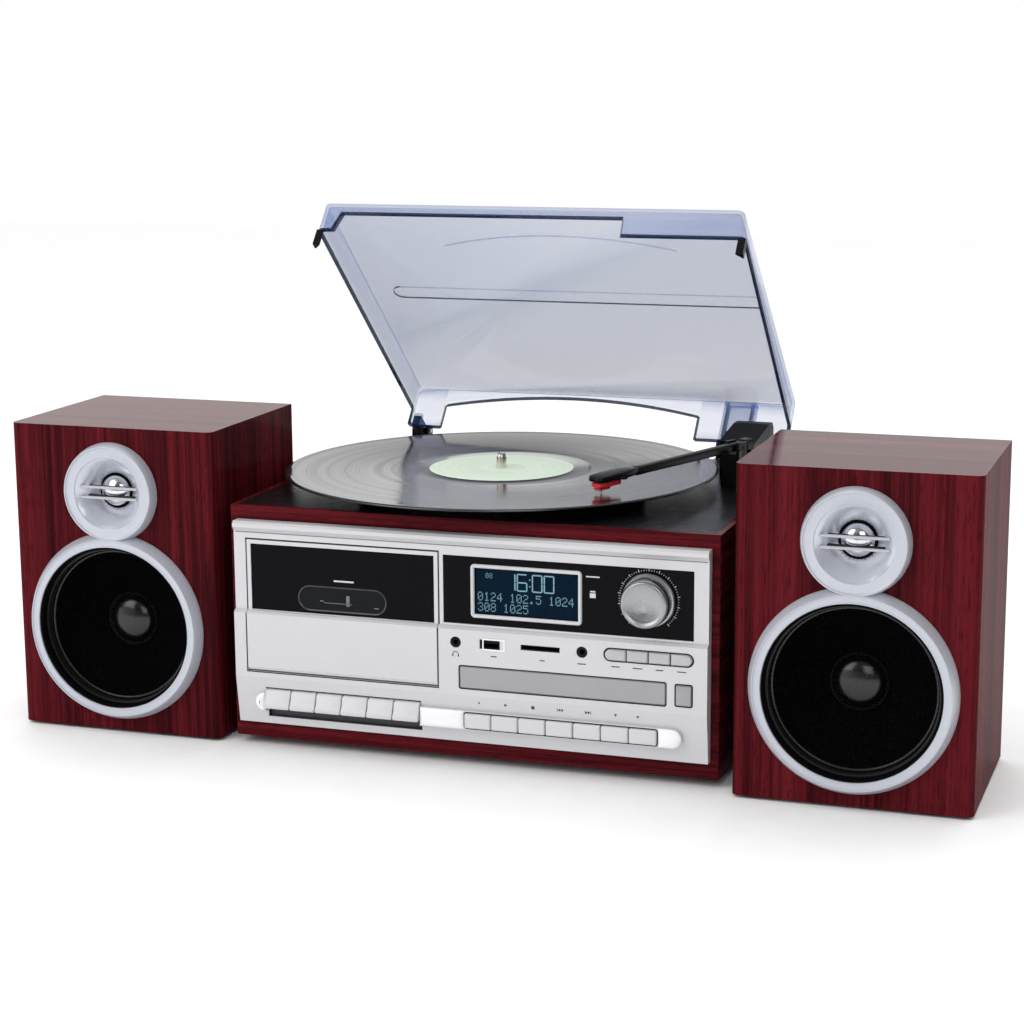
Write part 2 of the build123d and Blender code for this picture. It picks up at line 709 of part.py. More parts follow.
# ---------------------------------------------------------------------------------------------------
# Push buttons
# ---------------------------------------------------------------------------------------------------
stem_back = 6.0
for number in range(1, front_key_count + 1):
    key_x = front_key_x + (number - (front_key_count + 1) / 2) * front_key_pitch
    with BuildPart() as front_key:
        with BuildSketch(proud_plane(4.0)):
            with Locations((key_x, front_key_z)):
                Rectangle(front_key_pitch - key_gap, front_key_h)
        extrude(amount=strip_proud + 2.2 - 4.0)
        chamfer(front_key.faces().sort_by(Axis.Y)[0].edges(), 0.8)
        with BuildSketch(proud_plane(4.0)):
            with Locations((key_x, front_key_z)):
                Rectangle(6, 5)
        extrude(amount=-stem_back - 4.0)
    front_key.part.label = f"front_key_{number}"
    export_step(front_key.part, f"parts/front_key_{number}.step")

for number in range(1, function_count + 1):
    key_x = function_x + (number - (function_count + 1) / 2) * function_pitch
    with BuildPart() as function_button:
        with BuildSketch(proud_plane(4.0)):
            with Locations((function_x, socket_z)):
                SlotOverall(function_w, function_h)
            with Locations((key_x, socket_z)):
                Rectangle(function_pitch - key_gap, function_h + 1, mode=Mode.INTERSECT)
        extrude(amount=bulge_proud + 1.4 - 4.0)
        with BuildSketch(proud_plane(4.0)):
            with Locations((key_x, socket_z)):
                Rectangle(5, 4)
        extrude(amount=-stem_back - 4.0)
    function_button.part.label = f"function_button_{number}"
    export_step(function_button.part, f"parts/function_button_{number}.step")

with BuildPart() as disc_button:
    with BuildSketch(proud_plane(4.0)):
        with Locations((disc_button_x, tray_z)):
            Rectangle(disc_button_w, disc_button_h)
    extrude(amount=bulge_proud + 1.2 - 4.0)
    chamfer(disc_button.faces().sort_by(Axis.Y)[0].edges(), 0.5)
    with BuildSketch(proud_plane(4.0)):
        with Locations((disc_button_x, tray_z)):
            Rectangle(5, 5)
    extrude(amount=-stem_back - 4.0)
disc_button.part.label = "disc_button"
export_step(disc_button.part, "parts/disc_button.step")

# ---------------------------------------------------------------------------------------------------
# Disc drive and its tray
# ---------------------------------------------------------------------------------------------------
tray_plate_w = tray_w - 10.0
tray_plate_t = 6.0
drive_front = front_y + board + 1.0
drive_back = drive_front + tray_len + 6.0
drive_bottom = tray_z - tray_h / 2 - 3.0
drive_in_h = tray_h + 2.0
with BuildPart() as cd_tray:
    with BuildSketch(proud_plane(bulge_proud + 0.3)):
        with Locations((tray_x, tray_z)):
            RectangleRounded(tray_w, tray_h, 1.2)
    extrude(amount=-3.0)
    chamfer(cd_tray.faces().sort_by(Axis.Y)[0].edges(), 0.6)
    tray_bottom = tray_z - tray_h / 2 + 1.0
    block(span(tray_x, tray_plate_w), (front_y - bulge_proud + 2.6, front_y + tray_len),
          (tray_bottom, tray_bottom + tray_plate_t))
    disc_y = front_y + tray_len / 2 - 2.0
    with BuildSketch(Plane.XY.offset(tray_bottom + tray_plate_t)):
        with Locations((tray_x, disc_y)):
            Circle(disc_recess_r)
    extrude(amount=-2.0, mode=Mode.SUBTRACT)
    with BuildSketch(Plane.XY.offset(tray_bottom + tray_plate_t)):
        with Locations((tray_x, disc_y + 20)):
            SlotOverall(90, 34, rotation=90)
    extrude(amount=-tray_plate_t, mode=Mode.SUBTRACT)
cd_tray.part.label = "cd_tray"
export_step(cd_tray.part, "parts/cd_tray.step")

runner_gap = 0.3
with BuildPart() as cd_drive:
    block(span(tray_x, tray_plate_w + 2 * runner_gap + 2 * drive_wall), (drive_front, drive_back),
          (drive_bottom - 5.0, drive_bottom + drive_in_h + 2 * drive_wall))
    block(span(tray_x, tray_plate_w + 2 * runner_gap), (drive_front, drive_back - drive_wall),
          (tray_bottom - runner_gap, drive_bottom + drive_in_h + drive_wall), Mode.SUBTRACT)
    block(span(tray_x, tray_plate_w - 20), (drive_front, drive_back - 2 * drive_wall),
          (drive_bottom - 5.0, drive_bottom - 2.0), Mode.SUBTRACT)
    for side in (-1, 1):
        leg_x = tray_x + side * (tray_plate_w / 2 - 3)
        block(span(leg_x, 6), (drive_front + 2, drive_front + 10), (cavity_bottom, drive_bottom - 1))
        block(span(leg_x, 6), (drive_back - 8, drive_back), (foot_h, drive_bottom - 1))
cd_drive.part.label = "cd_drive"
export_step(cd_drive.part, "parts/cd_drive.step")

# ---------------------------------------------------------------------------------------------------
# Electronics inside
# ---------------------------------------------------------------------------------------------------
pcb_t = 1.6
switch_board_y = front_y + board
with BuildPart() as circuit_boards:
    with Locations((board_x, board_y, foot_h + post_h)):
        Box(board_w, board_d, pcb_t, align=(Align.CENTER, Align.CENTER, Align.MIN))
    with Locations((board_x - 45, board_y + 20, foot_h + post_h + pcb_t)):
        Box(heat_sink_w, 12, heat_sink_h, align=(Align.CENTER, Align.CENTER, Align.MIN))
    with Locations((board_x, board_y, foot_h + post_h + pcb_t)):
        Box(16, 16, 2.5, align=(Align.CENTER, Align.CENTER, Align.MIN))
    with Locations((board_x + 42, board_y + 10, foot_h + post_h + pcb_t)):
        with GridLocations(18, 22, 2, 2):
            Cylinder(6, 18, align=(Align.CENTER, Align.CENTER, Align.MIN))
    # switch board behind the keys and display, with the volume encoder's body and shaft
    switch_board_right = right_x - board - 1
    drive_top = drive_bottom + drive_in_h + 2 * drive_wall
    block((front_key_x - front_key_w / 2, switch_board_right), (switch_board_y, switch_board_y + pcb_t),
          (cavity_bottom + 0.5, drive_bottom - 12.0))
    block((display_x - display_w / 2 + 2, switch_board_right), (switch_board_y, switch_board_y + pcb_t),
          (drive_top + 2, cavity_top - 0.5))
    block((tray_x + tray_plate_w / 2 + 4, switch_board_right), (switch_board_y, switch_board_y + pcb_t),
          (drive_bottom - 14.0, drive_top + 4))
    with Locations((knob_x, (switch_board_y + front_y - display_back + panel_flange) / 2, knob_z)):
        Box(12, switch_board_y - front_y + display_back - panel_flange - 0.6, 12)
    with BuildSketch(proud_plane(display_face + knob_h - 3.5)):
        with Locations((knob_x, knob_z)):
            Circle(knob_shaft_r)
    extrude(amount=-(display_face + knob_h - 3.5 + 2.0))
circuit_boards.part.label = "circuit_boards"
export_step(circuit_boards.part, "parts/circuit_boards.step")

with BuildPart() as power_transformer:
    with Locations((transformer_x, transformer_y, foot_h)):
        Box(core_w, core_d, core_h, align=(Align.CENTER, Align.CENTER, Align.MIN))
        Box(core_foot_w, core_d / 3, 2.5, align=(Align.CENTER, Align.CENTER, Align.MIN))
    with Locations((transformer_x, transformer_y, foot_h + core_h / 2)):
        Box(winding_w, winding_d, winding_h)
    fillet(power_transformer.edges().filter_by(Axis.Z).group_by(Axis.Y)[0], 3)
power_transformer.part.label = "power_transformer"
export_step(power_transformer.part, "parts/power_transformer.step")

# ---------------------------------------------------------------------------------------------------
# Turntable
# ---------------------------------------------------------------------------------------------------
bearing_bore_r = spindle_r + running
with BuildPart() as deck_plate:
    deck_in = deck_edge + seat_gap
    block((left_x + deck_in, right_x - deck_in), (front_y + deck_in, rear_y - deck_in),
          (deck_bottom, unit_top))
    with BuildSketch(Plane.XY.offset(unit_top)):
        with Locations((spindle_x, spindle_cy)):
            Circle(well_r + deck_t)
    extrude(amount=well_floor - deck_t - unit_top)
    with BuildSketch(Plane.XY.offset(unit_top)):
        with Locations((spindle_x, spindle_cy)):
            Circle(well_r)
    extrude(amount=well_floor - unit_top, mode=Mode.SUBTRACT)
    with BuildSketch(Plane.XY.offset(well_floor)):
        with Locations((spindle_x, spindle_cy)):
            Circle(bearing_r)
    extrude(amount=bearing_bottom - well_floor)
    with Locations((spindle_x, spindle_cy, bearing_bottom + 2)):
        Cylinder(bearing_bore_r, 60, align=(Align.CENTER, Align.CENTER, Align.MIN), mode=Mode.SUBTRACT)
    with Locations((pulley_x, pulley_y, well_floor - deck_t)):
        Cylinder(motor_shaft_r + 2.5, 2 * deck_t, mode=Mode.SUBTRACT)
deck_plate.part.label = "deck_plate"
export_step(deck_plate.part, "parts/deck_plate.step")

with BuildPart() as platter:
    with BuildSketch(Plane.XY.offset(record_bottom)):
        with Locations((spindle_x, spindle_cy)):
            Circle(platter_r)
    extrude(amount=-platter_t)
    with BuildSketch(Plane.XY.offset(record_bottom - platter_t)):
        with Locations((spindle_x, spindle_cy)):
            Circle(platter_r)
            Circle(platter_r - platter_rim, mode=Mode.SUBTRACT)
            Circle(sub_rim_r)
            Circle(sub_rim_r - sub_rim_t, mode=Mode.SUBTRACT)
            Circle(bearing_r + 3)
    extrude(amount=platter_bottom - record_bottom + platter_t)
    with Locations((spindle_x, spindle_cy, record_bottom)):
        Cylinder(spindle_r, 60, mode=Mode.SUBTRACT)
    chamfer(platter.faces().sort_by(Axis.Z)[-1].outer_wire().edges(), 1.0)
platter.part.label = "platter"
export_step(platter.part, "parts/platter.step")

with BuildPart() as record:
    with BuildSketch(Plane.XY.offset(record_bottom)):
        with Locations((spindle_x, spindle_cy)):
            Circle(record_r)
            Circle(record_hole_r, mode=Mode.SUBTRACT)
    extrude(amount=record_t)
record.part.label = "record"
export_step(record.part, "parts/record.step")

with BuildPart() as spindle:
    with Locations((spindle_x, spindle_cy, bearing_bottom + 2.2)):
        Cylinder(spindle_r, spindle_tip - bearing_bottom - 2.2, align=(Align.CENTER, Align.CENTER, Align.MIN))
    chamfer(spindle.faces().sort_by(Axis.Z)[-1].edges(), 1.0)
spindle.part.label = "spindle"
export_step(spindle.part, "parts/spindle.step")

pulley_bottom = well_floor + 1.2
pulley_h = 8.0
belt_z = platter_bottom + 1.0
motor_top = well_floor - deck_t
rotor_r = motor_r - motor_wall - rotor_gap
rotor_h = motor_h - 2 * motor_wall - 2 * rotor_gap
with BuildPart() as motor_pulley:
    with Locations((pulley_x, pulley_y, pulley_bottom)):
        Cylinder(pulley_r, pulley_h, align=(Align.CENTER, Align.CENTER, Align.MIN))
    with Locations((pulley_x, pulley_y, pulley_bottom + pulley_h)):
        Cylinder(motor_shaft_r, pulley_bottom + pulley_h - motor_top + motor_wall + rotor_gap + 1.0,
                 align=(Align.CENTER, Align.CENTER, Align.MAX))
    with Locations((pulley_x, pulley_y, motor_top - motor_wall - rotor_gap)):
        Cylinder(rotor_r, rotor_h, align=(Align.CENTER, Align.CENTER, Align.MAX))
motor_pulley.part.label = "motor_pulley"
export_step(motor_pulley.part, "parts/motor_pulley.step")

with BuildPart() as turntable_motor:
    with Locations((pulley_x, pulley_y, motor_top)):
        Cylinder(motor_r, motor_h, align=(Align.CENTER, Align.CENTER, Align.MAX))
    with Locations((pulley_x, pulley_y, motor_top - motor_wall)):
        Cylinder(motor_r - motor_wall, motor_h - 2 * motor_wall,
                 align=(Align.CENTER, Align.CENTER, Align.MAX),
                 mode=Mode.SUBTRACT)
    with Locations((pulley_x, pulley_y, motor_top)):
        Cylinder(motor_shaft_r + running, 2 * motor_wall + 1, mode=Mode.SUBTRACT)
turntable_motor.part.label = "turntable_motor"
export_step(turntable_motor.part, "parts/turntable_motor.step")

with BuildPart() as drive_belt:
    for clear, mode in ((belt_clear + belt_t, Mode.ADD), (belt_clear, Mode.SUBTRACT)):
        with BuildSketch(Plane.XY.offset(belt_z)):
            with Locations((spindle_x, spindle_cy)):
                Circle(sub_rim_r + clear)
            with Locations((pulley_x, pulley_y)):
                Circle(pulley_r + clear)
            make_hull()
        extrude(amount=belt_h, mode=mode)
drive_belt.part.label = "drive_belt"
export_step(drive_belt.part, "parts/drive_belt.step")

# ---------------------------------------------------------------------------------------------------
# Tonearm
# ---------------------------------------------------------------------------------------------------
pivot_cy = front_y + pivot_y
arm_reach = hypot(stylus_x - pivot_x, stylus_y - pivot_y)
arm_yaw = atan2(stylus_y - pivot_y, stylus_x - pivot_x)
slope = radians(arm_slope)
arm_plane = Plane(
    origin=(pivot_x, pivot_cy, pivot_z),
    x_dir=(cos(arm_yaw) * cos(slope), sin(arm_yaw) * cos(slope), -sin(slope)),
    z_dir=(cos(arm_yaw) * sin(slope), sin(arm_yaw) * sin(slope), cos(slope)),
)
cue_dy = 12.0                # cue lever's axis behind the arm's
cue_pin_r = 1.5
pivot_pin_r = 2.0
pivot_pin_h = 4.0
yoke_r = 7.0
yoke_t = 3.0

base_l = pivot_x - base_left
base_r = pivot_x + base_right
housing_l = pivot_x - housing_left
housing_y = (pivot_cy + housing_front, pivot_cy + housing_rear)
cue_w = 3.0
cue_x = pivot_x + base_right + 1.3
cue_y = pivot_cy + cue_dy
cue_z = base_top - 4.0
with BuildPart() as tonearm_base:
    with Locations((pivot_x, pivot_cy, unit_top)):
        Cylinder(pivot_pin_r, base_top - unit_top + pivot_pin_h,
                 align=(Align.CENTER, Align.CENTER, Align.MIN))
    block((base_l, base_r), (pivot_cy - base_front, housing_y[0]), (unit_top, base_top))
    with BuildSketch(Plane.XY.offset(unit_top)):
        Polygon((base_l, housing_y[0]), (base_r, housing_y[0]), (base_r, housing_y[1]),
                (housing_l, housing_y[1]), (housing_l, pivot_cy + housing_step),
                (base_l, pivot_cy + housing_step), align=None)
    extrude(amount=housing_top - unit_top)
    with BuildSketch(Plane.YZ.offset(housing_l)):
        Polygon((housing_y[0], housing_low), (housing_y[1], housing_top), (housing_y[0], housing_top),
                align=None)
    extrude(amount=base_r - housing_l, mode=Mode.SUBTRACT)
    with Locations((base_r, cue_y, cue_z)):
        Cylinder(cue_pin_r, 2 * (cue_x + cue_w - base_r), rotation=along_x)
    # post that the parked arm lies on
    rest_cy = front_y + rest_y
    rest_z = pivot_z - arm_h / 2 - (pivot_y - rest_y) * sin(slope) - 0.6
    block(span(pivot_x, 12), span(rest_cy, 7), (unit_top, rest_z))
    block(span(pivot_x, 12), (rest_cy, pivot_cy - base_front), (unit_top, base_top))
    block(span(pivot_x + arm_w / 2 + 1.8, 2.0), span(rest_cy, 7), (rest_z - 1.0, rest_z + 3.0))
tonearm_base.part.label = "tonearm_base"
export_step(tonearm_base.part, "parts/tonearm_base.step")

yoke_plane = Plane(origin=(pivot_x, pivot_cy, pivot_z), x_dir=(cos(arm_yaw), sin(arm_yaw), 0),
                   z_dir=(0, 0, 1))
yoke_bottom = base_top + arm_gap - pivot_z
with BuildPart(yoke_plane) as tonearm_yoke:
    with Locations((0, 0, yoke_bottom)):
        Cylinder(yoke_r, yoke_t, align=(Align.CENTER, Align.CENTER, Align.MIN))
    for side in (-1, 1):
        block((-4, 4), span(side * (arm_w / 2 + 2.2), 2.6), (yoke_bottom, 3.6))
    with Locations((0, 0, 0)):
        Cylinder(arm_axle_r + running, 30, rotation=(90, 0, 0), mode=Mode.SUBTRACT)
    with Locations((0, 0, base_top - pivot_z)):
        Cylinder(pivot_pin_r + running, pivot_pin_h + 0.2, align=(Align.CENTER, Align.CENTER, Align.MIN),
                 mode=Mode.SUBTRACT)
tonearm_yoke.part.label = "tonearm_yoke"
export_step(tonearm_yoke.part, "parts/tonearm_yoke.step")

shell_start = arm_reach - shell_len + 7.0
with BuildPart(arm_plane) as tonearm:
    block((-10, shell_start + 3), span(0, arm_w), span(0, arm_h))
    block((-13.5, -7), span(0, arm_w + 3), span(0.4, arm_h + 1.8))
    with Locations((0, 0, 0)):
        Cylinder(arm_axle_r, 2 * (arm_w / 2 + 3.4), rotation=(90, 0, 0))
    shell_points = (
        (shell_start, -4.6), (shell_start + 8, -shell_w / 2), (arm_reach + 5, -shell_w / 2 + 1.5),
        (arm_reach + 7, -3.5), (arm_reach + 7, 3.5), (arm_reach + 5, shell_w / 2 - 1.5),
        (shell_start + 8, shell_w / 2), (shell_start, 4.6),
    )
    with BuildSketch(arm_plane.offset(-1.4)):
        Polygon(*shell_points, align=None)
    extrude(amount=5.0)
    # finger lift on the outer side
    block((arm_reach - 14, arm_reach - 9), (shell_w / 2 - 1, shell_w / 2 + finger_len), (-1.0, 0.6))
tonearm.part.label = "tonearm"
export_step(tonearm.part, "parts/tonearm.step")

stylus_drop = (pivot_z - record_top - arm_gap - arm_reach * sin(slope)) / cos(slope)
with BuildPart(arm_plane) as cartridge:
    block((arm_reach - 14, arm_reach + 5), span(0, 9.6), (-6.0, -1.4))
    block((arm_reach - 6, arm_reach + 4), span(0, 6.4), (-7.0, -6.0))
    with Locations((arm_reach, 0, -7.0)):
        Cone(0.3, 1.0, stylus_drop - 7.0, rotation=(180, 0, 0), align=(Align.CENTER, Align.CENTER, Align.MIN))
cartridge.part.label = "cartridge"
export_step(cartridge.part, "parts/cartridge.step")

with BuildPart() as cue_lever:
    with Locations((cue_x + cue_w / 2, cue_y, cue_z)):
        Cylinder(3.8, cue_w, rotation=along_x)
    block((cue_x, cue_x + cue_w), (cue_y - cue_len + 2, cue_y), span(cue_z + 1.5, 2.5))
    block((cue_x, cue_x + cue_w), (cue_y - cue_len, cue_y - cue_len + 6), (cue_z + 0.2, cue_z + 7))
    with Locations((cue_x + cue_w / 2, cue_y, cue_z)):
        Cylinder(cue_pin_r + running, 2 * cue_w, rotation=along_x, mode=Mode.SUBTRACT)
cue_lever.part.label = "cue_lever"
export_step(cue_lever.part, "parts/cue_lever.step")

switch_x = pivot_x + switch_dx
switch_y = rear_y - board - 21.0
with BuildPart() as speed_switch:
    block(span(switch_x, 7), (switch_y - 14, switch_y - 6), (unit_top + 0.3, unit_top + 4.5))
speed_switch.part.label = "speed_switch"
export_step(speed_switch.part, "parts/speed_switch.step")

# ---------------------------------------------------------------------------------------------------
# Dust cover with its hinges, drawn in the closed position and turned open about the hinge axis
# ---------------------------------------------------------------------------------------------------
hinge_cy = front_y + hinge_y
lid_plane = Plane(
    origin=(0, hinge_cy, hinge_z), x_dir=(1, 0, 0), z_dir=(0, sin(lid_angle), cos(lid_angle)),
)
rear = lid_rear - hinge_y
front = rear - lid_len
top = lid_top - hinge_z
foot_l = lid_l + lid_foot_left_w
foot_r_x = lid_r - lid_foot_right_w
pocket_w = hinge_leaf_w + 8.0
pocket_d = 7.5
leaf_slot_z = 1.5            # top of the slot that the leaf leaves the pocket by


def lid_upright(y):
    """Plane across the lid at a local y, facing the lid's front edge."""
    return Plane(origin=lid_plane.from_local_coords((0, y, 0)), x_dir=(1, 0, 0), z_dir=-lid_plane.y_dir)


with BuildPart(lid_plane) as dust_cover:
    block((lid_l, lid_r), (front, rear), (top - lid_wall, top))
    block((lid_l, lid_l + lid_wall), (front, rear), (top - lid_skirt, top))
    # the right wall leans out towards the front
    for wall_y, lean in ((front, lid_flare), (rear, 0.0)):
        with BuildSketch(lid_upright(wall_y)):
            Polygon((lid_r - lid_wall, top), (lid_r, top), (lid_r + lean, top - lid_skirt),
                    (lid_r + lean - lid_wall, top - lid_skirt), align=None)
    loft()
    for wall_x in ((lid_l, lid_l + lid_wall), (lid_r - lid_wall, lid_r)):
        block(wall_x, (rear - lid_foot_side, rear), (top - lid_foot, top))
    with BuildSketch(lid_upright(front + lid_wall)):
        with BuildLine():
            Polyline(
                (lid_l, top), (lid_l, top - lid_skirt), (lid_l + lid_left_tab, top - lid_skirt),
                (lid_l + lid_left_tab + 4, top - lid_front_skirt),
                (lid_r - lid_right_tab - 1, top - lid_front_skirt), (lid_r - lid_right_tab, top - lid_skirt),
                (lid_r + lid_flare, top - lid_skirt), (lid_r, top), close=True,
            )
        make_face()
    extrude(amount=lid_wall)
    with BuildSketch(lid_upright(rear)):
        with BuildLine():
            Polyline((foot_l, top - arc_end), (foot_l, top - lid_foot), (lid_l, top - lid_foot), (lid_l, top),
                     (lid_r, top), (lid_r, top - lid_foot), (foot_r_x, top - lid_foot),
                     (foot_r_x, top - arc_end))
            ThreePointArc((foot_r_x, top - arc_end), ((foot_l + foot_r_x) / 2, top - arc_mid),
                          (foot_l, top - arc_end))
        make_face()
    extrude(amount=lid_wall)
    # clear pocket that the right hinge's leaf slides into
    block(span(hinge_right_x, pocket_w), (rear, rear + pocket_d), (top - lid_foot, top))
    block(span(hinge_right_x, hinge_leaf_w + 0.6), (rear + 1.6, rear + pocket_d - 1.4),
          (top - lid_foot - 1, top - 2.0), Mode.SUBTRACT)
    block(span(hinge_right_x, hinge_leaf_w + 0.6), (rear + pocket_d - 2.0, rear + pocket_d + 1),
          (top - lid_foot - 1, leaf_slot_z), Mode.SUBTRACT)
    long_edges = dust_cover.edges().filter_by(Axis.X).filter_by(lambda e: e.length > lid_w - 1)
    fillet(long_edges.sort_by(Axis.Z)[-1], 1.6)
dust_cover.part.label = "dust_cover"
export_step(dust_cover.part, "parts/dust_cover.step")

leaf_front = rear + 1.9
leaf_t = 4.0
with BuildPart(lid_plane) as lid_fittings:
    with BuildSketch(lid_plane.offset(top - lid_skirt)):
        for edge_x, inward in ((lid_l, 1), (lid_r + lid_flare - bumper_lean, -1)):
            Polygon((edge_x, front), (edge_x, front + bumper_w),
                    (edge_x + inward * (bumper_w - bumper_cut), front + bumper_w),
                    (edge_x + inward * bumper_w, front + bumper_w - bumper_cut),
                    (edge_x + inward * bumper_w, front), align=None)
    extrude(amount=-bumper_h)
    block(span(hinge_right_x, hinge_leaf_w), (leaf_front, leaf_front + leaf_t), (-barrel_r, top - 2.4))
    block(span(hinge_right_x, hinge_leaf_w), (leaf_front, 0), (-barrel_r, -barrel_r + 5.0))
    with Locations((hinge_right_x, 0, 0)):
        Cylinder(barrel_r, hinge_leaf_w, rotation=along_x)
    block(span(hinge_left_x, hinge_left_w), (rear, rear + leaf_t), (-barrel_r, top - lid_skirt))
    block(span(hinge_left_x, hinge_left_w), (rear, 0), (-barrel_r, barrel_r - 1))
    with Locations((hinge_left_x, 0, 0)):
        Cylinder(barrel_r, hinge_left_w, rotation=along_x)
    with Locations(((hinge_left_x + hinge_right_x) / 2, 0, 0)):
        Cylinder(hinge_pin_r + running, unit_w, rotation=along_x, mode=Mode.SUBTRACT)
lid_fittings.part.label = "lid_fittings"
export_step(lid_fittings.part, "parts/lid_fittings.step")

ear_front = rear_y
ear_low = hinge_z - 22.0
ear_shoulder = lid_top - lid_foot - 1.5
with BuildPart() as hinge_bases:
    for hinge_x, leaf_w in ((hinge_left_x, hinge_left_w), (hinge_right_x, pocket_w)):
        ear_offset = leaf_w / 2 + seat_gap + ear_t / 2
        block(span(hinge_x, 2 * ear_offset + ear_t), (ear_front, ear_front + 3), (ear_low - 8, ear_shoulder))
        for side in (-1, 1):
            ear_x = hinge_x + side * ear_offset
            block(span(ear_x, ear_t), (ear_front, hinge_cy + barrel_r), (ear_low, ear_shoulder))
            block(span(ear_x, ear_t), span(hinge_cy, 2 * barrel_r), (ear_shoulder - 0.5, hinge_z))
            with Locations((ear_x, hinge_cy, hinge_z)):
                Cylinder(barrel_r, ear_t, rotation=along_x)
        with Locations((hinge_x, hinge_cy, hinge_z)):
            Cylinder(hinge_pin_r, 4 * ear_offset, rotation=along_x, mode=Mode.SUBTRACT)
    # cap of the right hinge on the cabinet's top edge
    block((housing_l, base_r), (housing_y[1] + 1.0, rear_y - 1.0), (unit_top, housing_top))
    chamfer(hinge_bases.faces().sort_by(Axis.Z)[-1].edges().sort_by(Axis.Y)[-1], 4.0)
hinge_bases.part.label = "hinge_bases"
export_step(hinge_bases.part, "parts/hinge_bases.step")

screw_r = 2.6
with BuildPart() as fasteners:
    for hinge_x, leaf_w in ((hinge_left_x, hinge_left_w), (hinge_right_x, pocket_w)):
        with Locations((hinge_x, hinge_cy, hinge_z)):
            Cylinder(hinge_pin_r, leaf_w + 2 * seat_gap + 2 * ear_t + 1.0, rotation=along_x)
    with BuildSketch(Plane.XZ.offset(-panel_y)):
        with Locations((0, (cavity_bottom + cavity_top) / 2)):
            with GridLocations(unit_w / 2 - board - 8, cavity_top - cavity_bottom - 12, 3, 2):
                Circle(screw_r)
    extrude(amount=-1.4)
    with BuildSketch(Plane.XY.offset(foot_h - base_t)):
        with Locations((0, front_y + unit_d / 2)):
            with GridLocations(unit_w - 2 * base_inset - 10, unit_d / 2, 2, 2):
                Circle(screw_r)
    extrude(amount=-1.2)
fasteners.part.label = "fasteners"
export_step(fasteners.part, "parts/fasteners.step")

# ---------------------------------------------------------------------------------------------------
# Speakers
# ---------------------------------------------------------------------------------------------------
speakers = (
    ("left", speaker_left_x, front_y + left_speaker_y),
    ("right", speaker_right_x, front_y + right_speaker_y),
)
flange_t = 2.5
flange_r = basket_r + 6.0
horn_depth = 11.0
tweeter_body_r = 27.0

with BuildPart() as speaker_cabinets:
    for _, cx, fy in speakers:
        block(span(cx, speaker_w), (fy, fy + speaker_d), (speaker_foot_h, speaker_h))
    front_edges = speaker_cabinets.edges().filter_by(Axis.Z)
    fillet([e for e in front_edges if e.center().Y < 0 + front_y + 5], speaker_edge)
    for _, cx, fy in speakers:
        block(span(cx, speaker_w - 2 * speaker_board), (fy + speaker_board, fy + speaker_d - speaker_board),
              (speaker_foot_h + speaker_board, speaker_h - speaker_board), Mode.SUBTRACT)
        with BuildSketch(proud_plane(0, fy)):
            with Locations((cx, woofer_z)):
                Circle(flange_r + seat_gap)
        extrude(amount=-flange_t, mode=Mode.SUBTRACT)
        with BuildSketch(proud_plane(0, fy)):
            with Locations((cx, woofer_z)):
                Circle(basket_r + seat_gap)
            with Locations((cx, tweeter_z)):
                Circle(tweeter_body_r + seat_gap)
        extrude(amount=-speaker_board, mode=Mode.SUBTRACT)
        block(span(cx, terminal_w), (fy + speaker_d - speaker_board, fy + speaker_d),
              (terminal_low, terminal_high), Mode.SUBTRACT)
speaker_cabinets.part.label = "speaker_cabinets"
export_step(speaker_cabinets.part, "parts/speaker_cabinets.step")

trim_slope = 1.7
with BuildPart() as speaker_trims:
    for _, cx, fy in speakers:
        for centre_z, radius in ((woofer_z, woofer_ring_r), (tweeter_z, tweeter_ring_r)):
            with Locations((cx, fy, centre_z)):
                Cone(radius, radius - trim_slope, trim_proud, rotation=along_y,
                     align=(Align.CENTER, Align.CENTER, Align.MIN))
    for _, cx, fy in speakers:
        for centre_z, radius in ((woofer_z, woofer_open_r), (tweeter_z, tweeter_open_r)):
            with Locations((cx, fy, centre_z)):
                Cone(radius, radius + trim_slope, trim_proud, rotation=along_y,
                     align=(Align.CENTER, Align.CENTER, Align.MIN), mode=Mode.SUBTRACT)
speaker_trims.part.label = "speaker_trims"
export_step(speaker_trims.part, "parts/speaker_trims.step")

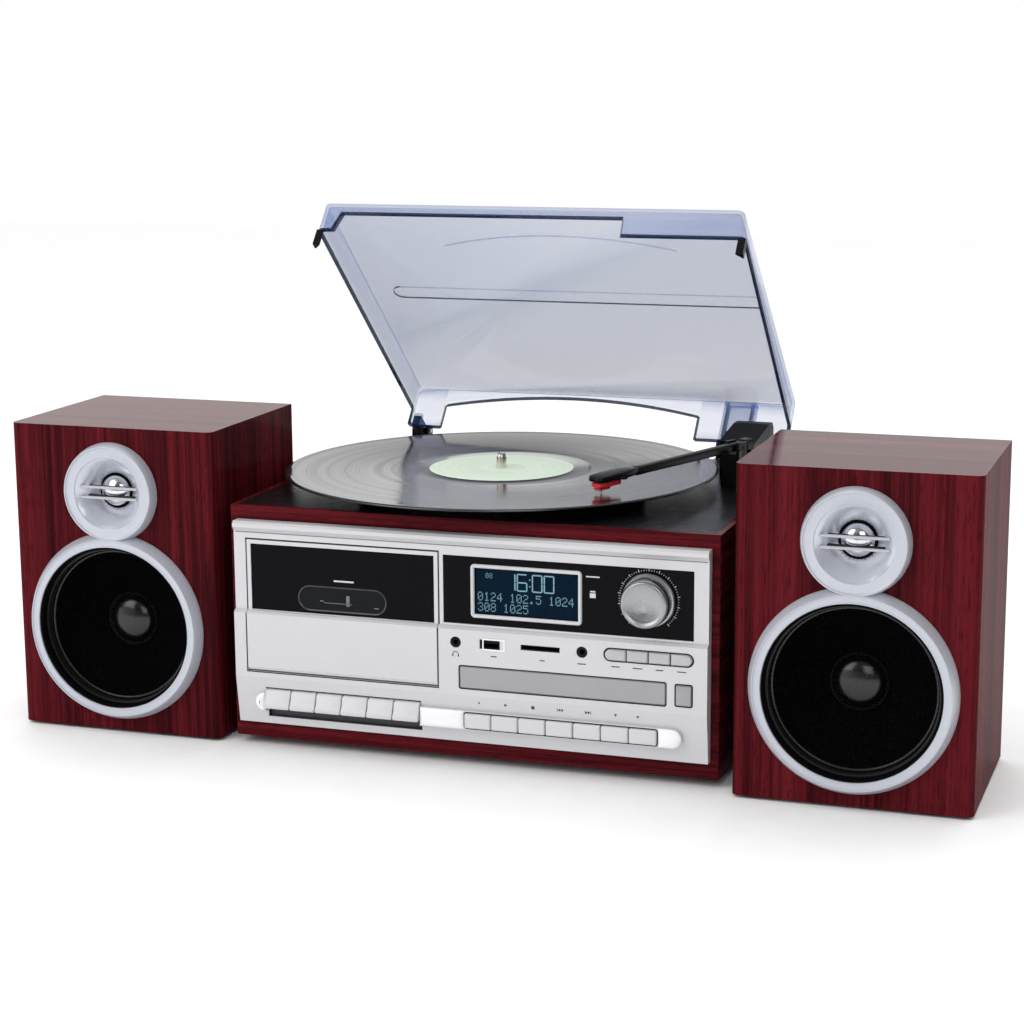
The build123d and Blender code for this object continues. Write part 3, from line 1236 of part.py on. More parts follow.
basket_depth = 34.0
with BuildPart() as driver_units:
    for _, cx, fy in speakers:
        # woofer basket and magnet, turned about the driver's axis
        with BuildSketch(Plane(origin=(cx, fy, woofer_z), x_dir=(1, 0, 0), z_dir=(0, 0, 1))):
            with BuildLine():
                Polyline(
                    (basket_r - basket_t, 0), (flange_r, 0), (flange_r, flange_t), (basket_r, flange_t),
                    (basket_r, 12), (magnet_r, basket_depth), (magnet_r, basket_depth + magnet_h),
                    (0, basket_depth + magnet_h), (0, basket_depth - 1), (magnet_r - 10, basket_depth - 1),
                    (basket_r - basket_t, 12), close=True,
                )
            make_face()
        revolve(axis=Axis((cx, fy, woofer_z), (0, 1, 0)))
        # tweeter: flange, flared horn and dome
        with BuildSketch(Plane(origin=(cx, fy, tweeter_z), x_dir=(1, 0, 0), z_dir=(0, 0, 1))):
            with BuildLine():
                Polyline(
                    (tweeter_open_r - 0.6, -2.0), (tweeter_open_r, 0), (tweeter_body_r, 0),
                    (tweeter_body_r, speaker_board + 6), (18, speaker_board + 20), (0, speaker_board + 20),
                    (0, horn_depth - 7),
                )
                ThreePointArc((0, horn_depth - 7), (dome_r * 0.7, horn_depth - 5), (dome_r, horn_depth))
                ThreePointArc((dome_r, horn_depth), (dome_r + 5, horn_depth - 5.5),
                              (tweeter_open_r - 0.6, -2.0))
            make_face()
        revolve(axis=Axis((cx, fy, tweeter_z), (0, 1, 0)))
        for side in (-1, 1):
            with Locations((cx, fy + 1.0, tweeter_z + side * 3.2)):
                Cylinder(1.0, 2 * tweeter_open_r - 1, rotation=along_x)
        # spring terminals in the back
        block(span(cx, terminal_w - 2 * seat_gap), (fy + speaker_d - speaker_board, fy + speaker_d - 2),
              (terminal_low + seat_gap, terminal_high - seat_gap))
driver_units.part.label = "driver_units"
export_step(driver_units.part, "parts/driver_units.step")

for side_name, cx, fy in speakers:
    with BuildPart() as woofer_cone:
        rim_y = fy + 4.0
        with BuildSketch(Plane(origin=(cx, rim_y, woofer_z), x_dir=(1, 0, 0), z_dir=(0, 0, 1))):
            with BuildLine():
                Polyline((cone_r, 0), (cone_r, cone_t), (cone_r - 7, cone_t), (cone_back_r, cone_depth + cone_t),
                         (0, cone_depth + cone_t), (0, cone_depth - 8))
                ThreePointArc((0, cone_depth - 8), (cap_r * 0.72, cone_depth - 5.4), (cap_r, cone_depth - 0.5))
                Polyline((cap_r, cone_depth - 0.5), (cone_r - 7, 0), (cone_r, 0))
            make_face()
        revolve(axis=Axis((cx, rim_y, woofer_z), (0, 1, 0)))
    woofer_cone.part.label = f"{side_name}_woofer_cone"
    export_step(woofer_cone.part, f"parts/{side_name}_woofer_cone.step")
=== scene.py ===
"""Dresses the stereo music centre: finishes for its solids, its detailed pieces, and a plain studio."""
from math import cos, pi, radians, sin

import bmesh
import bpy
import numpy as np
from bpy.props import FloatProperty, FloatVectorProperty, IntProperty, PointerProperty
from mathutils import Matrix, Vector


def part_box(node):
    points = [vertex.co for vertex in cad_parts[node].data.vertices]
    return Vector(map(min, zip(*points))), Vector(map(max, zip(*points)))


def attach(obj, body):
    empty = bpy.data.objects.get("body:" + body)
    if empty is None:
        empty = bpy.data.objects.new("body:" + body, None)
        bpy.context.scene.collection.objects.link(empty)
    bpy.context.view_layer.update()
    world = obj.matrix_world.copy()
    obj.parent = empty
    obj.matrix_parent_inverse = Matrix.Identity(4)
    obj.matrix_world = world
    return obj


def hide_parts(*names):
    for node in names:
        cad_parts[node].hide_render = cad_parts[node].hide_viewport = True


bl_info = {
    "name": "Stereo music centre",
    "version": (1, 0, 0),
    "blender": (4, 5, 0),
    "location": "View3D > Sidebar > Music centre",
    "description": "Finishes and detailed pieces of a turntable, tape, disc and radio unit with speakers",
    "category": "Object",
}

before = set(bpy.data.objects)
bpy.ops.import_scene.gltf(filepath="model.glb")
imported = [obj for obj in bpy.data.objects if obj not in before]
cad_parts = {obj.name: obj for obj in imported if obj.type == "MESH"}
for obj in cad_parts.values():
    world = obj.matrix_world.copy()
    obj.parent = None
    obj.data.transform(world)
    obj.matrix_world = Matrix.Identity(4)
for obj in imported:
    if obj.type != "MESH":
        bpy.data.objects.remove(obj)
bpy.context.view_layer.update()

MM = 0.001
RIGHT = np.array((1.0, 0.0, 0.0))
BACK = np.array((0.0, 1.0, 0.0))
UP = np.array((0.0, 0.0, 1.0))
FRONT_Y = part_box("cabinet")[0].y

# how far the faces of the front stand before the cabinet
LOWER_FACE = 10.0 * MM
KEY_FACE = 11.0 * MM
LIT_FACE = 5.95 * MM

# a print reaches from inside its face to just before it
PRINTED = (-0.1 * MM, 0.06 * MM)


# ---------------------------------------------------------------------------------------------------
# Shapes: each is (points, faces), worked out as whole arrays
# ---------------------------------------------------------------------------------------------------
def skin(points, closed_rows=False, closed_columns=True, capped=True):
    """Quads over a grid of points, with a flat face over the first and last row where they are capped."""
    rows, columns = points.shape[:2]
    number = np.arange(rows * columns).reshape(rows, columns)
    first, last = number[0], number[-1]
    if closed_rows:
        number = np.vstack([number, number[:1]])
    if closed_columns:
        number = np.hstack([number, number[:, :1]])
    quads = np.stack([number[:-1, :-1], number[:-1, 1:], number[1:, 1:], number[1:, :-1]], -1)
    faces = quads.reshape(-1, 4).tolist()
    if capped and not closed_rows:
        faces += [first[::-1].tolist(), last.tolist()]
    return points.reshape(-1, 3), faces


def rounded_outline(width, height, radius, inset=0.0, steps=6):
    """Rounded rectangle: each corner is an arc of the radius less the inset, about its own centre."""
    turn = np.linspace(0, pi / 2, steps + 1)
    arc = max(radius - inset, 1e-6)
    a, b = width / 2 - inset - arc, height / 2 - inset - arc
    corners = (((a, b), 0), ((-a, b), pi / 2), ((-a, -b), pi), ((a, -b), 1.5 * pi))
    return np.concatenate([
        np.stack([cx + arc * np.cos(turn + start), cy + arc * np.sin(turn + start)], 1)
        for (cx, cy), start in corners
    ])


def upright(x, y, z):
    """Place on an upright plane that faces the front: origin, across, up and outward."""
    return np.array((x, y, z)), RIGHT, UP, -BACK


def facing(x, z, proud):
    """Upright place this far in front of the cabinet."""
    return upright(x, FRONT_Y - proud, z)


def raised(place, outlines, heights, **closing):
    """Outlines carried outward: each point is origin + u across + v up + height outward."""
    origin, across, up, out = place
    flat = np.array(outlines)
    points = origin + flat[..., :1] * across + flat[..., 1:] * up
    return skin(points + np.array(heights)[:, None, None] * out, **closing)


def plate(place, width, height, radius, profile, steps=6):
    """Rounded rectangle that draws in by each inset of the profile as it rises to each height."""
    outlines = [rounded_outline(width, height, radius, inset, steps) for inset, _ in profile]
    return raised(place, outlines, [rise for _, rise in profile])


def rim(place, width, height, radius, profile, steps=6):
    """Frame: a closed (inset, height) profile carried round a rounded rectangle."""
    outlines = [rounded_outline(width, height, radius, inset, steps) for inset, _ in profile]
    return raised(place, outlines, [rise for _, rise in profile], closed_rows=True)


def turned(centre, out, profile, steps=96, gain=None, **closing):
    """(radius, height) profile turned about an axis: centre + height outward + radius x gain around it."""
    side = RIGHT
    up = UP if abs(out[1]) > 0.5 else BACK
    turn = np.linspace(0, 2 * pi, steps, endpoint=False)
    profile = np.array(profile)
    radius = profile[:, :1] * (np.ones((len(profile), steps)) if gain is None else gain)
    around = np.cos(turn)[:, None] * side + np.sin(turn)[:, None] * up
    points = np.array(centre) + radius[..., None] * around + profile[:, 1][:, None, None] * np.array(out)
    return skin(points, **closing)


def carried(path, across, up, half_width, half_height, square=4.0, steps=24):
    """Section |u/w|^n + |v/h|^n = 1 carried along a path; half-width w and half-height h may vary."""
    path = np.array(path)
    turn = np.linspace(0, 2 * pi, steps, endpoint=False)
    u = np.sign(np.cos(turn)) * np.abs(np.cos(turn)) ** (2 / square)
    v = np.sign(np.sin(turn)) * np.abs(np.sin(turn)) ** (2 / square)
    wide = np.broadcast_to(half_width, len(path))[:, None, None] * u[:, None] * across
    high = np.broadcast_to(half_height, len(path))[:, None, None] * v[:, None] * up
    return skin(path[:, None, :] + wide + high)


def prism(section, low, high, bevel):
    """(y, z) section carried along X and drawn towards its middle by the bevel at both ends."""
    section = np.array(section)
    inward = section.mean(0) - section
    inward /= np.linalg.norm(inward, axis=1, keepdims=True)
    stations = ((low, 1.0), (low + 0.3 * bevel, 0.3), (low + bevel, 0.0),
                (high - bevel, 0.0), (high - 0.3 * bevel, 0.3), (high, 1.0))
    rings = [np.insert(section + draw * bevel * inward, 0, x, axis=1) for x, draw in stations]
    return skin(np.array(rings))


def blocks(centres, sizes):
    """Boxes: the eight corners of each are its centre plus or minus half its size on every axis."""
    centres, sizes = np.atleast_2d(centres), np.atleast_2d(sizes)
    signs = np.array([(x, y, z) for x in (-1, 1) for y in (-1, 1) for z in (-1, 1)]) / 2
    points = (centres[:, None, :] + signs * sizes[:, None, :]).reshape(-1, 3)
    corners = np.array(((0, 1, 3, 2), (4, 6, 7, 5), (0, 4, 5, 1), (2, 3, 7, 6), (0, 2, 6, 4), (1, 5, 7, 3)))
    start = np.arange(len(centres))[:, None, None] * 8
    return points, (start + corners).reshape(-1, 4).tolist()


def front_bars(proud, thick, bars):
    """Flat boxes on an upright plane this far in front of the cabinet: x, z, width and height of each."""
    bars = np.array(bars)
    centres = np.insert(bars[:, :2], 1, FRONT_Y - proud, axis=1)
    return blocks(centres, np.insert(bars[:, 2:], 1, thick, axis=1))


def ticks(place, angles, inner, outer, half_width, thick):
    """Radial marks: corners at the inner and outer radius, half a width to each side of every angle."""
    origin, across, up, out = place
    angles = np.radians(angles)[:, None, None]
    radius = np.array((inner, inner, outer, outer, inner, inner, outer, outer))[None, :, None]
    side = np.array((-1, 1, 1, -1, -1, 1, 1, -1))[None, :, None] * half_width
    rise = np.array((0, 0, 0, 0, 1, 1, 1, 1))[None, :, None] * thick
    along = np.cos(angles) * across + np.sin(angles) * up
    beside = -np.sin(angles) * across + np.cos(angles) * up
    points = (origin + radius * along + side * beside + rise * out).reshape(-1, 3)
    corners = np.array(((0, 1, 2, 3), (4, 7, 6, 5), (0, 4, 5, 1), (1, 5, 6, 2), (2, 6, 7, 3), (3, 7, 4, 0)))
    start = np.arange(len(angles))[:, None, None] * 8
    return points, (start + corners).reshape(-1, 4).tolist()


def make_piece(name, shapes, finishes, body, stands_for=(), crease=35.0):
    """Puts (shape, finish number) pairs into one object, welds it, turns its faces out, and rides it."""
    points, faces, numbers, start = [], [], [], 0
    for (shape_points, shape_faces), number in shapes:
        points.append(shape_points)
        faces += [[start + corner for corner in face] for face in shape_faces]
        numbers += [number] * len(shape_faces)
        start += len(shape_points)
    mesh = bpy.data.meshes.new(name)
    mesh.from_pydata(np.concatenate(points), [], faces)
    mesh.polygons.foreach_set("material_index", numbers)
    for finish in finishes:
        mesh.materials.append(finish)
    welded = bmesh.new()
    welded.from_mesh(mesh)
    bmesh.ops.remove_doubles(welded, verts=welded.verts, dist=1e-7)
    bmesh.ops.recalc_face_normals(welded, faces=welded.faces)
    welded.to_mesh(mesh)
    welded.free()
    mesh.shade_smooth()
    mesh.set_sharp_from_angle(angle=radians(crease))
    piece = bpy.data.objects.new(name, mesh)
    bpy.context.scene.collection.objects.link(piece)
    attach(piece, body)
    if stands_for:
        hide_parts(*stands_for)
    return piece


def dress(finish, *nodes):
    """Gives each of these solids the finish."""
    for node in nodes:
        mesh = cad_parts[node].data
        mesh.materials.clear()
        mesh.materials.append(finish)


def middle(node):
    """Centre of a node's box."""
    low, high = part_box(node)
    return np.array((low + high) / 2)


def front_face(first, last=None):
    """Middle x and z, width and height of a node's box as the front shows it, or of a row of nodes."""
    low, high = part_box(first)[0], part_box(last or first)[1]
    return (low.x + high.x) / 2, (low.z + high.z) / 2, high.x - low.x, high.z - low.z


# ---------------------------------------------------------------------------------------------------
# Finishes
# ---------------------------------------------------------------------------------------------------
def times(factor, colour):
    """Colour made lighter or darker by a factor."""
    return [factor * c for c in colour[:3]]


def start_finish(name, colour, roughness, **sockets):
    """New material with its shader's own colour, roughness and named sockets."""
    finish = bpy.data.materials.new(name)
    finish.use_nodes = True
    shader = finish.node_tree.nodes["Principled BSDF"]
    shader.inputs["Base Color"].default_value = (*colour[:3], 1.0)
    shader.inputs["Roughness"].default_value = roughness
    for socket, value in sockets.items():
        shader.inputs[socket.replace("_", " ").title().replace("Ior", "IOR")].default_value = value
    return finish, shader


def add_node(finish, kind, inputs=None, **settings):
    """New node of a finish or a world; an input that is a socket is linked, and any other value is set."""
    node = finish.node_tree.nodes.new("ShaderNode" + kind)
    for setting, value in settings.items():
        setattr(node, setting, value)
    for socket, value in (inputs or {}).items():
        if isinstance(value, bpy.types.NodeSocket):
            finish.node_tree.links.new(value, node.inputs[socket])
        else:
            node.inputs[socket].default_value = value
    return node


def feed(finish, socket, source):
    """Links a node's output into the shader's named socket."""
    finish.node_tree.links.new(source, finish.node_tree.nodes["Principled BSDF"].inputs[socket])


def object_points(finish, centre=(0, 0, 0), scale=(1, 1, 1)):
    """Object coordinates about a centre, stretched on each axis."""
    place = add_node(finish, "TexCoord")
    moved = [-c * s for c, s in zip(centre, scale)]
    mapping = add_node(finish, "Mapping", {"Vector": place.outputs["Object"]})
    mapping.inputs["Location"].default_value = moved
    mapping.inputs["Scale"].default_value = scale
    return mapping.outputs["Vector"]


def noise(finish, vector, scale, detail=3.0, roughness=0.55, bend=0.0):
    """Fractal noise value at a scale in cycles per metre; a bend makes its shapes wander."""
    node = add_node(finish, "TexNoise", {
        "Vector": vector, "Scale": scale, "Detail": detail, "Roughness": roughness, "Distortion": bend,
    })
    return node.outputs["Fac"]


def line_noise(finish, distance, scale, detail):
    """Fractal noise value along one line."""
    inputs = {"W": distance, "Scale": scale, "Detail": detail}
    return add_node(finish, "TexNoise", inputs, noise_dimensions="1D").outputs["Fac"]


def vector_math(finish, operation, *vectors):
    """Result of a vector math node on vectors or sockets."""
    return add_node(finish, "VectorMath", dict(enumerate(vectors)), operation=operation).outputs


def spread(finish, value, low, high, from_low=0.3, from_high=0.7):
    """Maps a value's middle range on to a low and high limit."""
    node = add_node(finish, "MapRange", {"Value": value, "From Min": from_low, "From Max": from_high,
                                         "To Min": low, "To Max": high})
    return node.outputs["Result"]


def calculate(finish, operation, *values):
    """Result of a math node on values or sockets."""
    return add_node(finish, "Math", dict(enumerate(values)), operation=operation).outputs[0]


def blend(finish, factor, first, second):
    """Colour between a first and second by a factor."""
    node = add_node(finish, "Mix", data_type="RGBA")
    for number, value in ((0, factor), (6, first), (7, second)):
        if isinstance(value, bpy.types.NodeSocket):
            finish.node_tree.links.new(value, node.inputs[number])
        else:
            node.inputs[number].default_value = value if number == 0 else (*value[:3], 1.0)
    return node.outputs[2]


def emboss(finish, height, strength, distance):
    """Bumps the shader's normal by a height value."""
    bump = add_node(finish, "Bump", {"Height": height, "Strength": strength, "Distance": distance})
    feed(finish, "Normal", bump.outputs["Normal"])


def mottled(name, colour, roughness, size, depth, bump, **sockets):
    """Plain finish with a fine grain: its size in cycles per metre, its depth of colour, and its bump."""
    finish, _ = start_finish(name, colour, roughness, **sockets)
    grain = noise(finish, object_points(finish), size)
    wide = noise(finish, object_points(finish), 30.0, 2.0)
    lighter = [min(c, 1.0) for c in times(1 + depth, colour)]
    mix = blend(finish, spread(finish, grain, 0.0, 1.0), times(1 - depth, colour), lighter)
    feed(finish, "Base Color", mix)
    fine = spread(finish, grain, -0.03, 0.03)
    slow = spread(finish, wide, roughness - 0.04, roughness + 0.04)
    feed(finish, "Roughness", calculate(finish, "ADD", fine, slow))
    emboss(finish, grain, bump, 0.0002)
    return finish


def veneer(name, wood, upright_box):
    """Rosewood veneer: dark streaks drawn out along the grain, slow bands and fine pores under a gloss coat.

    The grain runs up an upright box and along a lying one. On top it runs across the box, and on the sides
    of a lying box from front to back. The coat is thicker on top.
    """
    finish, _ = start_finish(name, wood.mid, wood.gloss,
                             Coat_Roughness=0.12, Coat_IOR=1.25, Specular_IOR_Level=0.0)
    along, across = 4.0, 1000.0 / wood.streak
    place = add_node(finish, "TexCoord").outputs
    facing_way = add_node(finish, "SeparateXYZ", {"Vector": place["Normal"]}).outputs
    on_side, on_top = (
        calculate(finish, "GREATER_THAN", calculate(finish, "ABSOLUTE", facing_way[axis]), 0.7)
        for axis in "XZ"
    )
    across_box = (along, across, across)
    grain = (across, across, along)
    if not upright_box:
        grain = blend(finish, on_side, across_box, (across, along, across))
    grain = blend(finish, on_top, grain, across_box)
    points = vector_math(finish, "MULTIPLY", place["Object"], grain)[0]
    pore_scale = vector_math(finish, "MULTIPLY_ADD", grain, (3.0,) * 3, (70.0,) * 3)[0]
    short = vector_math(finish, "MULTIPLY", place["Object"], pore_scale)[0]
    bands = noise(finish, points, 0.17, 3.0, 0.6)
    streaks = noise(finish, points, 0.8, 4.0, 0.62, 0.7)
    pores = noise(finish, short, 1.0, 2.0, 0.6)
    body = blend(finish, spread(finish, streaks, 0.1, 1.0, 0.36, 0.60), wood.dark, wood.mid)
    body = blend(finish, spread(finish, bands, 0.0, 0.8, 0.52, 0.70), body, wood.light)
    body = blend(finish, spread(finish, bands, 0.6, 0.0, 0.34, 0.47), body, wood.dark)
    body = blend(finish, spread(finish, pores, 0.0, 0.6, 0.54, 0.68), body, wood.dark)
    feed(finish, "Base Color", body)
    feed(finish, "Coat Weight", spread(finish, on_top, 0.18, 0.62, 0.0, 1.0))
    feed(finish, "Roughness", spread(finish, streaks, wood.gloss - 0.05, wood.gloss + 0.08))
    emboss(finish, pores, 0.1, 0.0002)
    return finish


def smoked(name, colour, thin, thick):
    """Smoked clear plastic: it hides more where it is seen along its surface than straight through."""
    finish, _ = start_finish(name, colour, 0.06, Specular_IOR_Level=0.25)
    facing_away = add_node(finish, "LayerWeight", {"Blend": 0.35}).outputs["Facing"]
    feed(finish, "Alpha", spread(finish, facing_away, thin, thick, 0.0, 1.0))
    haze = noise(finish, object_points(finish), 14.0, 2.0)
    feed(finish, "Roughness", spread(finish, haze, 0.04, 0.09))
    return finish


def brushed(name, colour, roughness, scale, metallic=1.0):
    """Metal with fine scratches drawn out on the axes of low scale."""
    finish, _ = start_finish(name, colour, roughness, Metallic=metallic)
    scratches = noise(finish, object_points(finish, scale=scale), 1.0, 4.0)
    feed(finish, "Roughness", spread(finish, scratches, roughness - 0.07, roughness + 0.1))
    emboss(finish, scratches, 0.08, 0.0001)
    return finish


def spun(name, colour, roughness, centre, axis, pitch, depth=0.15, **sockets):
    """Finish with fine rings about an axis, from noise of the distance, and a sheen stretched across them."""
    finish, _ = start_finish(name, colour, roughness, **sockets)
    flat = [1.0 - abs(a) for a in axis]
    points = object_points(finish, centre, flat)
    distance = vector_math(finish, "LENGTH", points)["Value"]
    round_it = vector_math(finish, "CROSS_PRODUCT", points, tuple(axis))["Vector"]
    feed(finish, "Tangent", vector_math(finish, "NORMALIZE", round_it)["Vector"])
    ring = line_noise(finish, distance, 1.0 / pitch, 2.0)
    feed(finish, "Roughness", spread(finish, ring, roughness - 0.06, roughness + 0.06))
    emboss(finish, ring, depth, 0.0001)
    return finish, distance, ring


def speckled(name, colour, roughness, gloss):
    """Black finish with a fine woven speckle: small cells are a little lighter and raised."""
    finish, _ = start_finish(name, colour, roughness, Specular_IOR_Level=gloss)
    cells = {"Vector": object_points(finish), "Scale": 650.0}
    weave = add_node(finish, "TexVoronoi", cells).outputs["Distance"]
    lit = spread(finish, weave, 1.0, 0.0, 0.0, 0.35)
    feed(finish, "Base Color", blend(finish, lit, colour, times(5, colour)))
    feed(finish, "Roughness", spread(finish, lit, roughness + 0.1, roughness - 0.1, 0.0, 1.0))
    emboss(finish, lit, 0.3, 0.0002)
    return finish


def lettering(name, colour, glow=0.0):
    """Printed or lit marks, slightly uneven."""
    finish, shader = start_finish(name, colour, 0.6)
    grain = noise(finish, object_points(finish), 900.0)
    ink = blend(finish, spread(finish, grain, 0.0, 1.0), times(0.85, colour), colour)
    feed(finish, "Base Color", ink)
    if glow:
        feed(finish, "Emission Color", ink)
        shader.inputs["Emission Strength"].default_value = glow
    return finish


# ---------------------------------------------------------------------------------------------------
# Sizes and colours that a user would change
# ---------------------------------------------------------------------------------------------------
def tint(name, text, default):
    """Colour property."""
    return FloatVectorProperty(name=name, description=text, subtype="COLOR", size=3, min=0.0, max=1.0,
                               default=default)


def share(name, text, default):
    """Property between 0 and 1."""
    return FloatProperty(name=name, description=text, min=0.0, max=1.0, subtype="FACTOR", default=default)


def length(name, text, default):
    """Length property in metres."""
    return FloatProperty(name=name, description=text, min=0.0, subtype="DISTANCE", unit="LENGTH",
                         default=default)


def amount(name, text, default, unit="NONE"):
    """Property from 0 up, such as a power or a glow."""
    return FloatProperty(name=name, description=text, min=0.0, unit=unit, default=default)


class WoodLook(bpy.types.PropertyGroup):
    dark: tint("Dark streak", "Colour of the dark streaks and pores", (0.022, 0.0022, 0.0032))
    mid: tint("Body", "Main colour of the veneer", (0.105, 0.0080, 0.0125))
    light: tint("Light band", "Colour of the slow light bands", (0.150, 0.013, 0.019))
    streak: FloatProperty(name="Streak width", description="Width of a streak in millimetres", min=0.5,
                          default=3.2)
    gloss: share("Roughness", "Roughness of the lacquer", 0.36)


class PlasticLook(bpy.types.PropertyGroup):
    silver: tint("Silver", "Painted plastic of the front", (0.60, 0.60, 0.62))
    key_silver: tint("Key silver", "Plastic of the keys and buttons", (0.60, 0.60, 0.62))
    trim_silver: tint("Trim silver", "Painted rings on the speakers", (0.52, 0.54, 0.60))
    black: tint("Black", "Gloss black windows and matte black deck", (0.003, 0.003, 0.004))
    smoke: tint("Smoke", "Clear plastic of the dust cover", (0.065, 0.160, 0.46))
    smoke_edge: tint("Smoke edge", "Edges and ribs of the dust cover, seen endways", (0.006, 0.018, 0.07))
    smoke_thin: share("Smoke seen through", "How much the dust cover hides, seen straight through", 0.10)
    smoke_thick: share("Smoke seen along", "How much it hides, seen along its surface", 0.68)


class TurntableLook(bpy.types.PropertyGroup):
    label_radius: length("Label radius", "Radius of the paper label", 0.050)
    groove_pitch: length("Groove pitch", "Spacing of the visible rings on the record", 0.0011)
    label: tint("Label", "Paper of the label", (0.66, 0.77, 0.62))
    cartridge: tint("Cartridge", "Plastic of the stylus holder", (0.75, 0.045, 0.055))


class DisplayLook(bpy.types.PropertyGroup):
    screen: tint("Screen", "Dark glass of the display", (0.0016, 0.0095, 0.022))
    digits: tint("Digits", "Lit digits", (0.17, 0.34, 0.40))
    glow: amount("Glow", "Strength of the lit digits", 0.15)


class KnobLook(bpy.types.PropertyGroup):
    ridges: IntProperty(name="Ridges", description="Ridges round the knob", min=12, default=72)
    ridge_depth: share("Ridge depth", "Depth of a ridge as a share of the radius", 0.012)


class StageLook(bpy.types.PropertyGroup):
    floor: tint("Floor", "Plain floor", (0.96, 0.96, 0.96))
    key_power: amount("Main light", "Power of the main soft light", 11.0, "POWER")
    fill_power: amount("Fill light", "Power of the fill light and the top light", 6.0, "POWER")
    sky: amount("Surroundings", "Strength of the surroundings behind and above", 1.25)
    above: share("Surroundings overhead", "How much of what is above the backdrop shows in gloss", 0.22)
    dim: amount("Surroundings in front", "Strength of the surroundings in front", 0.25)


class MusicCentreLook(bpy.types.PropertyGroup):
    wood: PointerProperty(type=WoodLook)
    plastic: PointerProperty(type=PlasticLook)
    turntable: PointerProperty(type=TurntableLook)
    display: PointerProperty(type=DisplayLook)
    knob: PointerProperty(type=KnobLook)
    stage: PointerProperty(type=StageLook)


def look():
    """The scene's own sizes and colours."""
    return bpy.context.scene.music_centre_look


def shared_finish(name):
    """A finish that several pieces share, made when it is first asked for."""
    plastic = look().plastic
    makers = {
        "silver_paint": lambda: mottled(name, plastic.silver, 0.36, 2600.0, 0.05, 0.06, Metallic=0.25),
        "key_paint": lambda: mottled(name, plastic.key_silver, 0.34, 2600.0, 0.03, 0.04),
        "bright_plastic": lambda: mottled(name, times(1.45, plastic.key_silver), 0.30, 2600.0, 0.02, 0.02,
                                          Coat_Weight=0.2),
        "gloss_black": lambda: mottled(name, plastic.black, 0.09, 800.0, 0.3, 0.01, Specular_IOR_Level=0.06),
        "matte_black": lambda: mottled(name, times(2, plastic.black), 0.40, 1800.0, 0.25, 0.2,
                                       Specular_IOR_Level=0.12),
        # painted shade of the gaps on the front, and the black of the knob's dot and of the ring round the
        # tweeter dome
        "painted_gap_shade_and_black_parts": lambda: mottled(name, (0.006, 0.006, 0.007), 0.7, 900.0, 0.2, 0.1,
                                    Specular_IOR_Level=0.1),
        "clear_plastic": lambda: smoked(name, plastic.smoke, plastic.smoke_thin, plastic.smoke_thick),
        "clear_edge": lambda: smoked(name, plastic.smoke_edge, 0.62, 0.9),
        "bright_metal": lambda: brushed(name, (0.80, 0.81, 0.83), 0.16, (900.0, 900.0, 900.0)),
        "plain_steel": lambda: brushed(name, (0.52, 0.53, 0.55), 0.34, (40.0, 900.0, 900.0)),
        "white_print": lambda: lettering(name, (0.62, 0.64, 0.68)),
        "dark_print": lambda: lettering(name, (0.05, 0.05, 0.06)),
    }
    return bpy.data.materials.get(name) or makers[name]()


# ---------------------------------------------------------------------------------------------------
# Operators, one for each piece or group of like pieces
# ---------------------------------------------------------------------------------------------------
class MUSIC_OT_wood(bpy.types.Operator):
    """Veneers the cabinet and the two speaker boxes"""
    bl_idname = "music.wood"
    bl_label = "Wooden cabinets"

    def execute(self, context):
        wood = look().wood
        dress(veneer("rosewood_lengthwise", wood, False), "cabinet")
        dress(veneer("rosewood_upright", wood, True), "speaker_cabinets")
        return {"FINISHED"}


def opening_line(x, z, proud, width, height, radius):
    """Painted shade of the gap round an opening of the front: a thin dark frame on the face, just outside the
    opening.
    """
    wide, sunk, rise = 0.55 * MM, -0.2 * MM, 0.06 * MM
    profile = ((0.0, sunk), (0.0, rise), (wide, rise), (wide, sunk))
    return rim(facing(x, z, proud), width + 2 * wide, height + 2 * wide, radius + wide, profile)


def rounded_bar(place, left, right, half, round_left, round_right, profile):
    """Bar with each end straight or half-round, drawn in by each inset of the profile as it rises."""
    turn = np.linspace(-pi / 2, pi / 2, 13)

    def outline(inset):
        reach = half - inset
        across, up = reach * np.cos(turn), reach * np.sin(turn)
        right_x = right - half + across if round_right else np.full_like(turn, right - inset)
        left_x = left + half - across[::-1] if round_left else np.full_like(turn, left + inset)
        return np.concatenate([np.stack([right_x, up], 1), np.stack([left_x, up[::-1]], 1)])

    return raised(place, [outline(inset) for inset, _ in profile], [rise for _, rise in profile])


# closed outlines of each mark, in units of half its size
KEY_MARKS = {
    "play": [((-1, -1), (1, 0), (-1, 1))],
    "stop": [((-1, -1), (1, -1), (1, 1), (-1, 1))],
    "back": [((1.6, -1), (1.6, 1), (0, 0)), ((0, -1), (0, 1), (-1.6, 0)),
             ((-2.0, -1), (-1.6, -1), (-1.6, 1), (-2.0, 1))],
    "next": [((-1.6, -1), (0, 0), (-1.6, 1)), ((0, -1), (1.6, 0), (0, 1)),
             ((1.6, -1), (2.0, -1), (2.0, 1), (1.6, 1))],
    "dot": [((-0.5, -0.5), (0.5, -0.5), (0.5, 0.5), (-0.5, 0.5))],
    "down": [((-1, 0.6), (0, -1), (1, 0.6))],
}


